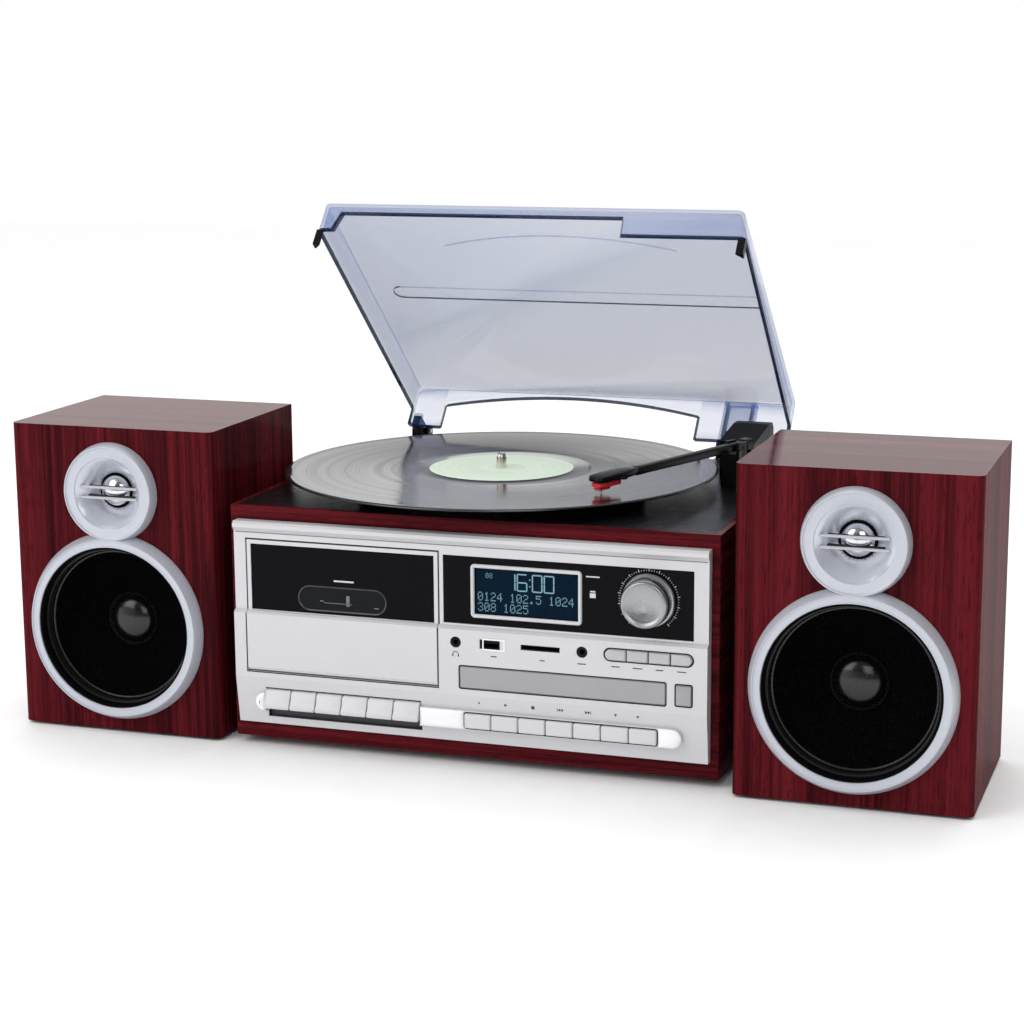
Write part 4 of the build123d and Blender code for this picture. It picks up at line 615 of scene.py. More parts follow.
class MUSIC_OT_front(bpy.types.Operator):
    """Paints the front panel and its frame, and adds its strip, its dark lines of painted gap and groove
    shade, and its small marks
    """
    bl_idname = "music.front"
    bl_label = "Front panel"

    # the row of sockets and function buttons, and the dashes under them
    phones_x, port_x, card_x, line_x = -5.0 * MM, 21.0 * MM, 53.6 * MM, 80.0 * MM
    buttons_z, dashes_z = 85.0 * MM, 77.3 * MM

    def execute(self, context):
        dress(shared_finish("silver_paint"), "fascia", "cassette_door")
        dress(shared_finish("gloss_black"), "display_panel")
        low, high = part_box("fascia")
        # painted shade: a grey strip along the face, under its top edge, where the groove there is shaded
        groove = (front_face("fascia")[0], high.z - 7.2 * MM, high.x - low.x - 2 * MM, 0.7 * MM)
        shade = mottled("groove_shade_grey", (0.20, 0.20, 0.21), 0.5, 2600.0, 0.05, 0.05)
        # painted shade: dark lines round the openings and the door, and a grey strip under the top edge
        make_piece("front_shade_lines", [*((line, 0) for line in (*self.opening_lines(), *self.door_lines())),
                                   (front_bars(6.9 * MM, 0.5 * MM, [groove]), 1)],
                   [shared_finish("painted_gap_shade_and_black_parts"), shade], "music_centre")
        recess = mottled("recess_grey", (0.05, 0.05, 0.055), 0.5, 900.0, 0.1, 0.05)
        make_piece("finger_recess", [(part, 0) for part in self.finger_recess()], [recess], "music_centre")
        make_piece("key_strip", [(strip, 0) for strip in self.strips()], [shared_finish("bright_plastic")],
                   "music_centre")
        marks = (*self.key_marks(), self.dashes(), *self.headphones())
        make_piece("front_marks", [(mark, 0) for mark in marks], [shared_finish("dark_print")],
                   "music_centre")
        collar = rim(facing(self.port_x, self.buttons_z, LOWER_FACE), 15.2 * MM, 7.7 * MM, 0.9 * MM,
                     ((0.0, -0.0002), (0.0, 0.0003), (0.0009, 0.0003), (0.0009, -0.0002)))
        make_piece("port_collar", [(collar, 0)], [shared_finish("bright_metal")], "music_centre")
        return {"FINISHED"}

    def opening_lines(self):
        """Painted gap shade: dark lines round the tray, the buttons and the front keys, and one over the tape
        keys.
        """
        tray_x, tray_z, tray_w, _ = front_face("cd_tray")
        disc_x, disc_z, _, _ = front_face("disc_button")
        buttons_x = front_face("function_button_1", "function_button_4")[0]
        keys_x, keys_z, keys_w, _ = front_face("front_key_1", "front_key_7")
        tape_x, _, tape_w, _ = front_face("cassette_key_1", "cassette_key_6")
        play = 0.6 * MM
        return (
            opening_line(tray_x, tray_z, LOWER_FACE, tray_w + play, 15.0 * MM, 1.0 * MM),
            opening_line(buttons_x, self.buttons_z, LOWER_FACE, 57.8 * MM, 8.0 * MM, 4.0 * MM),
            opening_line(disc_x, disc_z, LOWER_FACE, 10.8 * MM, 14.0 * MM, 1.0 * MM),
            opening_line(keys_x, keys_z, KEY_FACE, keys_w + play, 10.4 * MM, 1.6 * MM),
            front_bars(8.9 * MM, 0.5 * MM, [(tape_x, 42.95 * MM, tape_w + 1.6 * MM, 0.6 * MM)]),
        )

    def door_lines(self):
        """Painted gap shade: dark lines round the cassette door; those at its sides follow the step of the
        face.
        """
        low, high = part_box("cassette_door")
        x, _, width, _ = front_face("cassette_door")
        wide, gap = 0.65 * MM, 0.4 * MM
        steps = np.array(((0, -6.75, 143.9), (0, -6.75, 95.4), (0, -8.3, 94.8), (0, -9.75, 93.3),
                          (0, -9.75, 53.3))) * MM
        lines = []
        for side in (-1, 1):
            place = np.array((x + side * (width / 2 + gap + wide / 2), FRONT_Y, 0.0))
            lines.append(carried(steps + place, RIGHT, BACK, wide / 2, 0.31 * MM, 8.0, 8))
        for proud, z in ((6.96 * MM, high.z + 0.75 * MM), (9.96 * MM, low.z - 0.75 * MM)):
            lines.append(front_bars(proud, 0.2 * MM, [(x, z, width + 2 * (wide + gap), wide)]))
        return lines

    def finger_recess(self):
        """Back and floor of the recess under the tape keys."""
        x, _, width, _ = front_face("cassette_key_1", "cassette_key_6")
        wide = width + 0.3 * MM
        return (front_bars(2.6 * MM, 0.8 * MM, [(x, 26.2 * MM, wide, 6.8 * MM)]),
                front_bars(4.4 * MM, 3.0 * MM, [(x, 22.75 * MM, wide, 0.3 * MM)]))

    def strips(self):
        """Bright bars beside the keys, half-round at the outer ends."""
        low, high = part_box("fascia")
        tape_low, tape_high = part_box("cassette_key_1")[0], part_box("cassette_key_6")[1]
        keys_low, keys_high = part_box("front_key_1")[0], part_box("front_key_7")[1]
        place = facing(0.0, middle("front_key_1")[2], KEY_FACE)
        swell = ((0.0, -0.0010), (0.0, 0.0002), (0.0006, 0.0009), (0.0016, 0.0014), (0.0030, 0.0017))
        return [rounded_bar(place, left, right, 6.1 * MM, *round_ends, swell) for left, right, round_ends in (
            (low.x + 14.6 * MM, tape_low.x - 0.7 * MM, (True, False)),
            (tape_high.x + 0.8 * MM, keys_low.x - 1.0 * MM, (False, False)),
            (keys_high.x + 1.0 * MM, high.x - 16.0 * MM, (False, True)),
        )]

    def key_marks(self):
        """Plain marks over the front keys, on the face that leans forward above them."""
        left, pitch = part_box("front_key_1")[0].x, front_face("front_key_1", "front_key_7")[2] / 7
        foot_proud, foot_z, run, rise = np.array((5.5, 17.5, 4.5, 32.5)) * MM
        height, size = 45.5 * MM, 1.1 * MM
        lean = np.array((0.0, -run, rise)) / np.hypot(run, rise)
        y = FRONT_Y - foot_proud - run * (height - foot_z) / rise
        places = ((0.5, "dot"), (1.5, "play"), (2.5, "stop"), (3.5, "back"), (4.5, "next"), (5.5, "down"),
                  (6.3, "down"))
        marks = []
        for number, kind in places:
            place = (np.array((left + number * pitch, y, height)), RIGHT, lean, np.cross(RIGHT, lean))
            marks += [raised(place, [np.array(corners) * size] * 2, PRINTED) for corners in KEY_MARKS[kind]]
        return marks

    def dashes(self):
        """Dashes of different widths under the function buttons and the sockets."""
        buttons_x = [x * MM for x in (102.2, 116.5, 130.8, 145.1)]
        widths = (5.4, 6.4, 5.0, 5.8, 4.0, 3.4, 5.6)
        under = zip((*buttons_x, self.port_x, self.card_x, self.line_x), widths)
        return front_bars(LOWER_FACE, 0.12 * MM, [(x, self.dashes_z, w * MM, 0.7 * MM) for x, w in under])

    def headphones(self):
        """Mark of the headphone socket: half a ring with a cup at each end."""
        turn = np.linspace(0, pi, 13)
        outer, inner = (np.stack([r * np.cos(turn), r * np.sin(turn)], 1) for r in (2.1 * MM, 1.6 * MM))
        band = np.concatenate([outer, inner[::-1]])
        cups = [(self.phones_x + side * 1.9 * MM, 76.3 * MM, 0.9 * MM, 1.6 * MM) for side in (-1, 1)]
        return (raised(facing(self.phones_x, 77.0 * MM, LOWER_FACE), [band, band], PRINTED),
                front_bars(LOWER_FACE, 0.12 * MM, cups))


# seven rows of five dots for each sign, from the top
FONT = {
    "0": "01110 10001 10011 10101 11001 10001 01110", "1": "00100 01100 00100 00100 00100 00100 01110",
    "2": "01110 10001 00001 00110 01000 10000 11111", "3": "01110 10001 00001 00110 00001 10001 01110",
    "4": "00010 00110 01010 10010 11111 00010 00010", "5": "11111 10000 11110 00001 00001 10001 01110",
    "6": "00110 01000 10000 11110 10001 10001 01110", "7": "11111 00001 00010 00100 01000 01000 01000",
    "8": "01110 10001 10001 01110 10001 10001 01110", "9": "01110 10001 10001 01111 00001 00010 01100",
    ".": "00000 00000 00000 00000 00000 01100 01100", " ": "00000 00000 00000 00000 00000 00000 00000",
}


def dot_text(text, left, top, pitch):
    """Numbers in dots: one small block for every lit dot of a 5 by 7 pattern, a little taller than wide."""
    rows = ["".join(FONT[letter].split()[row] + "0" for letter in text) for row in range(7)]
    row, column = np.nonzero([[int(bit) for bit in bits] for bits in rows])
    tall = 1.16 * pitch
    x, z = left + (column + 0.5) * pitch, top - (row + 0.5) * tall
    dot = np.ones_like(x)
    return front_bars(LIT_FACE, 0.1 * MM, np.stack([x, z, 0.72 * pitch * dot, 0.74 * tall * dot], 1))


def clock_text(text, left, base, width, height, bar):
    """Clock digits: each lit bar of seven is a block, and a colon is two square ones."""
    bars = {"a": (0.5, 1.0, True), "b": (1.0, 0.75, False), "c": (1.0, 0.25, False), "d": (0.5, 0.0, True),
            "e": (0.0, 0.25, False), "f": (0.0, 0.75, False), "g": (0.5, 0.5, True)}
    lit = {"0": "abcdef", "1": "bc", "2": "abged", "3": "abgcd", "4": "fgbc", "5": "afgcd", "6": "afgedc",
           "7": "abc", "8": "abcdefg", "9": "abcdfg"}
    found, x = [], left
    for letter in text:
        if letter == ":":
            found += [(x + 0.5 * bar, base + part * height, bar, bar) for part in (0.3, 0.7)]
            x += 2.6 * bar
            continue
        for u, v, lying in (bars[name] for name in lit[letter]):
            long = (width if lying else height / 2) - 0.35 * bar
            found.append((x + u * width, base + v * height, *((long, bar) if lying else (bar, long))))
        x += width + 1.9 * bar
    return front_bars(LIT_FACE, 0.1 * MM, found)


class MUSIC_OT_display(bpy.types.Operator):
    """Frames the display and lights its numbers"""
    bl_idname = "music.display"
    bl_label = "Display"

    def execute(self, context):
        display = look().display
        glass = mottled("display_glass", display.screen, 0.12, 700.0, 0.2, 0.01, Specular_IOR_Level=0.03)
        lit = lettering("display_digits", display.digits, display.glow)
        x, z, width, height = front_face("lcd_bezel")
        profile = ((0.0, 0.0), (0.0, 0.0010), (0.0004, 0.0017), (0.0010, 0.0020), (0.0016, 0.0019),
                   (0.0022, 0.0014), (0.0024, 0.0008), (0.0024, 0.0))
        bezel = rim(facing(x, z, 6.5 * MM), width, height, 2.6 * MM, profile, 8)
        make_piece("display_frame", [(bezel, 0)], [shared_finish("key_paint")], "music_centre",
                   ("lcd_bezel",))
        _, _, screen_w, screen_h = front_face("lcd_screen")
        sheet = plate(facing(x, z, 1.9 * MM), screen_w, screen_h, 0.8 * MM,
                      ((0.0, 0.0), (0.0, 0.0038), (0.0002, 0.0040)))
        make_piece("display_screen", [(sheet, 0), *((numbers, 1) for numbers in self.numbers())],
                   [glass, lit], "music_centre", ("lcd_screen",))
        beside = x + width / 2 + 7.0 * MM
        notes = front_bars(6.55 * MM, 0.1 * MM, [(beside, z * MM, w * MM, h * MM) for z, w, h in (
            (133.5, 9.0, 0.8), (124.0, 3.4, 0.9), (121.4, 3.8, 3.0))])
        make_piece("display_marks", [(notes, 0)], [shared_finish("white_print")], "music_centre")
        return {"FINISHED"}

    def numbers(self):
        """Clock, two rows of plain numbers and a small one, measured from the screen's upper left corner."""
        low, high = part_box("lcd_screen")
        pitch, small = 0.725 * MM, 0.42 * MM
        return (
            clock_text("16:00", low.x + 20.5 * MM, high.z - 13.2 * MM, 6.3 * MM, 10.8 * MM, 0.85 * MM),
            dot_text("0124 102.5 1024", low.x + 1.6 * MM, high.z - 15.4 * MM, pitch),
            dot_text("308 1025", low.x + 1.6 * MM, high.z - 22.3 * MM, pitch),
            dot_text("08", low.x + 7.0 * MM, high.z - 2.8 * MM, small),
        )


class MUSIC_OT_knob(bpy.types.Operator):
    """Turns the volume knob and prints the ring of marks round it"""
    bl_idname = "music.knob"
    bl_label = "Volume knob"

    def execute(self, context):
        ridges, depth = look().knob.ridges, look().knob.ridge_depth
        low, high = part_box("volume_knob")
        x, z, width, _ = front_face("volume_knob")
        radius, tall = width / 2, high.y - low.y
        grip = radius - 1.8 * MM
        # radius, height and share of the ridges at each station
        stations = np.array((
            (radius - 0.3 * MM, 0.0, 0), (radius, 0.4 * MM, 0), (radius, 1.6 * MM, 0),
            (radius - 0.7 * MM, 2.5 * MM, 0), (grip, 2.7 * MM, 1), (grip, 4.0 * MM, 1),
            (grip - 0.1 * MM, tall - 3.0 * MM, 1), (grip - 0.5 * MM, tall - 1.2 * MM, 0.6),
            (grip - 1.3 * MM, tall - 0.3 * MM, 0), (grip - 2.4 * MM, tall, 0),
            (grip - 3.3 * MM, tall - 0.5 * MM, 0), (grip - 4.4 * MM, tall - 1.0 * MM, 0),
            (4.0 * MM, tall - 1.9 * MM, 0), (0.6 * MM, tall - 2.0 * MM, 0),
        ))
        turn = np.linspace(0, 2 * pi, 4 * ridges, endpoint=False)
        gain = 1 + stations[:, 2:] * depth * np.cos(ridges * turn)
        knob = turned((x, high.y, z), -BACK, stations[:, :2], len(turn), gain)
        metal = spun("knob_metal", (0.36, 0.365, 0.38), 0.22, middle("volume_knob"), BACK, 0.0005, 0.03,
                     Metallic=1.0, Anisotropic=0.92)[0]
        dot = plate(upright(x - 7.0 * MM, low.y + 1.5 * MM, z - 6.2 * MM), 2.4 * MM, 2.4 * MM, 1.19 * MM,
                    ((0.0, -0.0006), (0.0, 0.0), (0.0004, 0.0002)))
        make_piece("knob_turned", [(knob, 0), (dot, 1)], [metal, shared_finish("painted_gap_shade_and_black_parts")], "volume",
                   ("volume_knob",))
        place = upright(x, high.y + 0.40 * MM, z)
        marks = [
            ticks(place, np.linspace(-50, 230, count), radius + inner, radius + outer, half_width, thick)
            for count, (inner, outer, half_width, thick) in (
                (57, np.array((1.4, 2.2, 0.16, 0.14)) * MM), (15, np.array((1.2, 3.0, 0.20, 0.15)) * MM))
        ]
        make_piece("knob_scale", [(mark, 0) for mark in marks], [shared_finish("white_print")],
                   "music_centre")
        return {"FINISHED"}


class MUSIC_OT_cassette(bpy.types.Operator):
    """Makes the cassette window and the six sloped keys, and finishes the reels and the mechanism"""
    bl_idname = "music.cassette"
    bl_label = "Cassette deck"

    def execute(self, context):
        self.window()
        for number in range(1, 7):
            self.key(number)
        reel_plastic = mottled("reel_plastic", (0.45, 0.45, 0.44), 0.4, 900.0, 0.05, 0.1)
        dress(reel_plastic, "supply_reel", "takeup_reel")
        dress(brushed("mechanism_metal", (0.42, 0.43, 0.45), 0.4, (60.0, 900.0, 900.0)), "cassette_mechanism")
        return {"FINISHED"}

    def window(self):
        """Black pane of the door with a lipped viewing slot, faint marks in it and a white dash above."""
        low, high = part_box("door_window")
        x, z, width, height = front_face("door_window")
        depth = high.y - low.y
        pane = plate(upright(x, high.y, z), width, height, 0.8 * MM,
                     ((0.0, 0.0), (0.0, depth - 0.0003), (0.0003, depth - 0.0008), (0.0004, depth - 0.0008)))
        slot_place = facing(x, 106.0 * MM, 6.1 * MM)
        slot_w, slot_h, lip_w = 61.0 * MM, 15.4 * MM, 1.0 * MM
        lip = rim(slot_place, slot_w + 2 * lip_w, slot_h + 2 * lip_w, 8.69 * MM,
                  ((0.0, 0.0), (0.0002, 0.0006), (0.0006, 0.0007), (0.0011, 0.0004), (0.0012, 0.0)), 12)
        view = plate(slot_place, slot_w, slot_h, 7.69 * MM, ((0.0, -0.0002), (0.0002, 0.0001)), 12)
        bars = front_bars(6.25 * MM, 0.1 * MM, [(x + u * MM, v * MM, w * MM, h * MM) for u, v, w, h in (
            (-3.0, 103.4, 20.0, 0.4), (4.0, 105.5, 2.4, 7.0), (-14.5, 104.5, 2.6, 0.7),
            (24.0, 102.0, 3.2, 0.6))])
        dash = front_bars(6.7 * MM, 0.14 * MM, [(x + 1.5 * MM, 118.6 * MM, 14.0 * MM, 1.1 * MM)])
        finishes = [
            shared_finish("gloss_black"),
            mottled("slot_lip", (0.035, 0.035, 0.04), 0.2, 500.0, 0.2, 0.01),
            mottled("view_slot", (0.010, 0.011, 0.012), 0.14, 3000.0, 0.2, 0.01, Specular_IOR_Level=0.06),
            shared_finish("white_print"),
            lettering("faint_print", (0.16, 0.18, 0.18)),
        ]
        make_piece("cassette_window", [(pane, 0), (lip, 1), (view, 2), (bars, 4), (dash, 3)], finishes,
                   "door", ("door_window",))

    def key(self, number):
        """Sloped key with a rounded nose, and the stem behind it."""
        node = f"cassette_key_{number}"
        low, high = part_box(node)
        nose, back = low.y, FRONT_Y - 4.5 * MM
        foot, top = 30.0 * MM, 42.1 * MM
        section = (
            (back, foot), (nose + 1.2 * MM, foot), (nose + 0.35 * MM, foot + 0.3 * MM),
            (nose, foot + 1.2 * MM), (nose + 0.1 * MM, foot + 2.2 * MM), (nose + 0.75 * MM, foot + 2.7 * MM),
            (nose + 2.2 * MM, foot + 6.0 * MM), (nose + 3.6 * MM, top - 1.6 * MM),
            (nose + 4.4 * MM, top - 0.5 * MM), (nose + 5.4 * MM, top), (back, top),
        )
        gap = 0.12 * MM
        cap = prism(section, low.x + gap, high.x - gap, 0.8 * MM)
        stem = blocks(((low.x + high.x) / 2, (back + high.y) / 2, 36.0 * MM),
                      (10.0 * MM, high.y - back, 6.6 * MM))
        make_piece(f"tape_key_{number}_cap", [(cap, 0), (stem, 0)], [shared_finish("key_paint")],
                   f"tape_key_{number}", (node,), 30.0)


def push_button(node, body, radius, finish, ends=(False, False)):
    """Rounded cap with a soft front edge, over the whole depth of the solid that it stands for."""
    low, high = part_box(node)
    x, z, width, height = front_face(node)
    shoulder = FRONT_Y - 4.0 * MM
    depth = shoulder - low.y
    place = upright(x, shoulder, z)
    profile = ((0.00012, 0.0), (0.00012, depth - 0.0009), (0.0004, depth - 0.0004), (0.0008, depth - 0.0001),
               (0.0014, depth))
    cap = (rounded_bar(place, -width / 2, width / 2, height / 2, *ends, profile) if any(ends)
           else plate(place, width, height, radius, profile))
    stem = blocks((x, (shoulder + high.y) / 2, z), (5 * MM, high.y - shoulder, 4 * MM))
    make_piece(f"{body}_cap", [(cap, 0), (stem, 0)], [finish], body, (node,), 40.0)


class MUSIC_OT_buttons(bpy.types.Operator):
    """Makes the front keys, the function buttons and the disc button, and finishes the disc tray"""
    bl_idname = "music.buttons"
    bl_label = "Keys and buttons"

    def execute(self, context):
        silver = look().plastic.silver
        tray_finish = mottled("tray_paint", times(0.6, silver), 0.4, 2600.0, 0.04, 0.05, Metallic=0.5)
        grey = mottled("button_grey", times(0.78, silver), 0.36, 2600.0, 0.04, 0.05, Metallic=0.3)
        for number in range(1, 8):
            push_button(f"front_key_{number}", f"push_key_{number}", 1.0 * MM, shared_finish("key_paint"))
        for number in range(1, 5):
            ends = (number == 1, number == 4)
            push_button(f"function_button_{number}", f"push_function_{number}", 0.7 * MM, grey, ends)
        push_button("disc_button", "push_disc", 0.9 * MM, tray_finish)
        dress(tray_finish, "cd_tray")
        dress(shared_finish("matte_black"), "cd_drive", "front_sockets")
        return {"FINISHED"}


class MUSIC_OT_turntable(bpy.types.Operator):
    """Makes the record with its label and the spindle, and finishes the deck and the platter"""
    bl_idname = "music.turntable"
    bl_label = "Turntable"

    def execute(self, context):
        self.record(look().turntable)
        self.spindle()
        dress(mottled("deck_black", look().plastic.black, 0.26, 1800.0, 0.2, 0.1, Specular_IOR_Level=0.25),
              "deck_plate")
        dress(mottled("platter_plastic", (0.014, 0.014, 0.016), 0.5, 1400.0, 0.2, 0.3), "platter")
        dress(mottled("belt_rubber", (0.01, 0.01, 0.01), 0.8, 2000.0, 0.2, 0.2), "drive_belt")
        dress(brushed("pulley_brass", (0.62, 0.44, 0.18), 0.28, (900.0, 900.0, 60.0)), "motor_pulley")
        dress(shared_finish("plain_steel"), "turntable_motor")
        return {"FINISHED"}

    def record(self, table):
        """Disc with a raised edge, a smooth band before the label, and the label with its pressed ring."""
        low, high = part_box("record")
        centre = middle("record")
        bottom = (centre[0], centre[1], low.z)
        radius, thick = (high.x - low.x) / 2, high.z - low.z
        label, hole = table.label_radius, 3.65 * MM
        edge_and_grooves = (
            (hole, 0.0), (label + 0.006, 0.0), (radius - 0.0012, 0.0), (radius - 0.0002, 0.0005),
            (radius, 0.0009), (radius - 0.0002, thick - 0.0004), (radius - 0.0012, thick),
            (radius - 0.0030, thick - 0.00012), (radius - 0.0060, thick - 0.0003),
            (label + 0.0165, thick - 0.0003), (label + 0.0155, thick - 0.0004),
            (label + 0.001, thick - 0.0004), (label, thick - 0.0002),
        )
        label_and_hole = (
            (label, thick - 0.0002), (label - 0.0004, thick - 0.0001), (0.017, thick - 0.0001),
            (0.0165, thick - 0.0003), (0.0158, thick - 0.0001), (hole, thick - 0.0001), (hole, 0.0),
        )
        disc, face = (turned(bottom, UP, profile, 256, capped=False)
                      for profile in (edge_and_grooves, label_and_hole))
        finishes = [self.vinyl(centre, table.groove_pitch), self.label_paper(centre, table.label)]
        make_piece("record_disc", [(disc, 0), (face, 1)], finishes, "turntable", ("record",))

    def vinyl(self, centre, pitch):
        """Black vinyl: fine rings about the spindle, with wide bands of rougher and smoother grooves."""
        vinyl, distance, ring = spun("record_vinyl", (0.004, 0.004, 0.005), 0.13, centre, UP, pitch, 0.12,
                                     Anisotropic=0.55, Specular_IOR_Level=0.85)
        black = blend(vinyl, spread(vinyl, ring, 0.0, 1.0), (0.002, 0.002, 0.003), (0.012, 0.012, 0.014))
        feed(vinyl, "Base Color", black)
        songs = spread(vinyl, line_noise(vinyl, distance, 90.0, 1.0), 0.08, 0.17)
        feed(vinyl, "Roughness", calculate(vinyl, "ADD", spread(vinyl, ring, -0.05, 0.05), songs))
        return vinyl

    def label_paper(self, centre, colour):
        """Paper of the label with thin printed rings, about 7 mm apart."""
        paper, distance, _ = spun("label_paper", colour, 0.5, centre, UP, 0.004, 0.02)
        wave = calculate(paper, "SINE", calculate(paper, "MULTIPLY", distance, 900.0))
        ink = calculate(paper, "MULTIPLY", calculate(paper, "GREATER_THAN", wave, 0.8), 0.1)
        feed(paper, "Base Color", blend(paper, ink, colour, (0.28, 0.36, 0.26)))
        return paper

    def spindle(self):
        """Pin with a rounded tip."""
        low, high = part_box("spindle")
        x, y, _ = middle("record")
        pin, tall = (high.x - low.x) / 2, high.z - low.z
        profile = ((pin, 0.0), (pin, tall - 0.0040), (pin - 0.0002, tall - 0.0022),
                   (pin - 0.0010, tall - 0.0008), (pin - 0.0021, tall - 0.0002), (0.0004, tall))
        metal = brushed("spindle_metal", (0.78, 0.74, 0.66), 0.18, (900.0, 900.0, 900.0))
        make_piece("spindle_pin", [(turned((x, y, low.z), UP, profile, 48), 0)], [metal], "turntable",
                   ("spindle",))


ARM_PIVOT = np.array((136.0 * MM, FRONT_Y + 168.0 * MM, 190.0 * MM))
ARM_SLOPE = radians(3.3)
STYLUS_FROM_PIVOT = np.array((-65.2, -106.6, 0.0)) * MM


def arm_axes():
    """Forward, side and up directions of the tonearm, which points at its stylus and slopes down to it."""
    flat = STYLUS_FROM_PIVOT / np.linalg.norm(STYLUS_FROM_PIVOT)
    forward = cos(ARM_SLOPE) * flat - sin(ARM_SLOPE) * UP
    side = np.cross(UP, flat)
    return forward, side, np.cross(forward, side)


def arm_bar(stations, lift=0.0, square=4.0):
    """Bar along the arm: distance from the pivot, half-width and half-height at each station."""
    forward, side, up = arm_axes()
    ahead, half_width, half_height = np.array(stations).T
    path = ARM_PIVOT + ahead[:, None] * forward + lift * up
    return carried(path, side, up, half_width, half_height, square)


class MUSIC_OT_tonearm(bpy.types.Operator):
    """Makes the tonearm with its headshell, finger lift, red stylus holder and pivot"""
    bl_idname = "music.tonearm"
    bl_label = "Tonearm"

    def execute(self, context):
        arm_black = mottled("arm_plastic", (0.005, 0.005, 0.006), 0.30, 1500.0, 0.2, 0.1,
                            Specular_IOR_Level=0.3)
        base_black = mottled("arm_base_plastic", (0.004, 0.004, 0.005), 0.34, 1500.0, 0.2, 0.2,
                             Specular_IOR_Level=0.04)
        self.arm(arm_black)
        self.cartridge()
        dress(arm_black, "tonearm_yoke", "cue_lever", "speed_switch")
        dress(base_black, "tonearm_base")
        return {"FINISHED"}

    def arm(self, black):
        """Tube with its thick rear end, neck, flat headshell, bent finger lift and the axle of the pivot."""
        axes = forward, side, up = arm_axes()
        tube = arm_bar(((-0.0135, 0.0030, 0.0024), (-0.0130, 0.0047, 0.0037), (-0.0070, 0.0047, 0.0037),
                        (-0.0065, 0.0032, 0.0028), (0.0200, 0.0032, 0.0028), (0.0940, 0.0030, 0.0026)),
                       square=7.0)
        neck = arm_bar(((0.0880, 0.0034, 0.0027), (0.0885, 0.0038, 0.0030), (0.0945, 0.0038, 0.0030),
                        (0.0950, 0.0034, 0.0027)), square=3.0)
        shell = arm_bar(((0.0945, 0.0038, 0.0018), (0.0960, 0.0046, 0.0024), (0.1030, 0.0066, 0.0026),
                         (0.1120, 0.0075, 0.0027), (0.1240, 0.0073, 0.0024), (0.1295, 0.0064, 0.0021),
                         (0.1312, 0.0046, 0.0016), (0.1319, 0.0028, 0.0010)), 0.0008, 5.0)
        bend = np.array(((0.1130, 0.0065, 0.0), (0.1134, 0.0095, -0.0002), (0.1140, 0.0122, 0.0001),
                         (0.1150, 0.0138, 0.0010)))
        lift = carried(ARM_PIVOT + bend @ np.array(axes), forward, up, (0.0026, 0.0022, 0.0020, 0.0010),
                       (0.0008, 0.0006, 0.0006, 0.0004), 4.0, 16)
        axle = carried([ARM_PIVOT - 0.0062 * side, ARM_PIVOT + 0.0062 * side], forward, up,
                       0.0010, 0.0010, 2.0, 16)
        make_piece("arm_tube", [(shape, 0) for shape in (tube, neck, shell, lift, axle)], [black], "arm",
                   ("tonearm",))

    def cartridge(self):
        """Red stylus holder with its lower clip, and the needle down to the foot of its solid."""
        red = mottled("cartridge_red", look().turntable.cartridge, 0.32, 1200.0, 0.06, 0.05, Coat_Weight=0.3)
        holder = arm_bar(((0.1110, 0.0042, 0.0018), (0.1113, 0.0047, 0.0021), (0.1240, 0.0047, 0.0021),
                          (0.1290, 0.0044, 0.0017), (0.1298, 0.0038, 0.0012)), -0.0034, 5.0)
        clip = arm_bar(((0.1190, 0.0026, 0.0006), (0.1195, 0.0031, 0.0009), (0.1285, 0.0031, 0.0009),
                        (0.1289, 0.0026, 0.0006)), -0.0062)
        forward, _, up = arm_axes()
        root = ARM_PIVOT + 124.96 * MM * forward - 7.0 * MM * up
        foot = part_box("cartridge")[0].z + 0.2 * MM
        needle = turned(root, UP, ((0.0009, 0.0), (0.0007, -0.0015), (0.0003, foot - root[2])), 20)
        make_piece("cartridge_body", [(holder, 0), (clip, 0), (needle, 1)],
                   [red, shared_finish("bright_metal")], "arm", ("cartridge",))


LID_AXIS = np.array((0.0, FRONT_Y + 278.0 * MM, 170.5 * MM))
LID_OPEN = radians(41.2)
LID_BACK = np.array((0.0, cos(LID_OPEN), -sin(LID_OPEN)))
LID_UP = np.array((0.0, sin(LID_OPEN), cos(LID_OPEN)))
LID_LEFT, LID_RIGHT, LID_FRONT, LID_REAR, LID_TOP = np.array((-141.2, 153.2, -248.5, -15.5, 29.0)) * MM
LID_DEEP, LID_SHALLOW, LID_FOOT, LID_FLARE, LID_WALL = np.array((23.0, 9.0, 36.0, 5.0, 2.4)) * MM
LID_FOOT_LONG = 5.5 * MM
LID_FLARE_WIDE = 79.0 * MM
HINGE_X, LEFT_HINGE_X = 111.7, -137.0  # in millimetres


def lid_place(x, y, z):
    """Points of the open dust cover's own frame: across, back and up from its hinge."""
    return LID_AXIS + np.stack(np.broadcast_arrays(x, y, z), -1) @ np.array((RIGHT, LID_BACK, LID_UP))


def lid_blocks(lows, highs):
    """Boxes of the cover's own frame, between the low and high limits of each in millimetres."""
    lows, highs = np.array(lows) * MM, np.array(highs) * MM
    points, faces = blocks((lows + highs) / 2, highs - lows)
    return lid_place(*points.T), faces


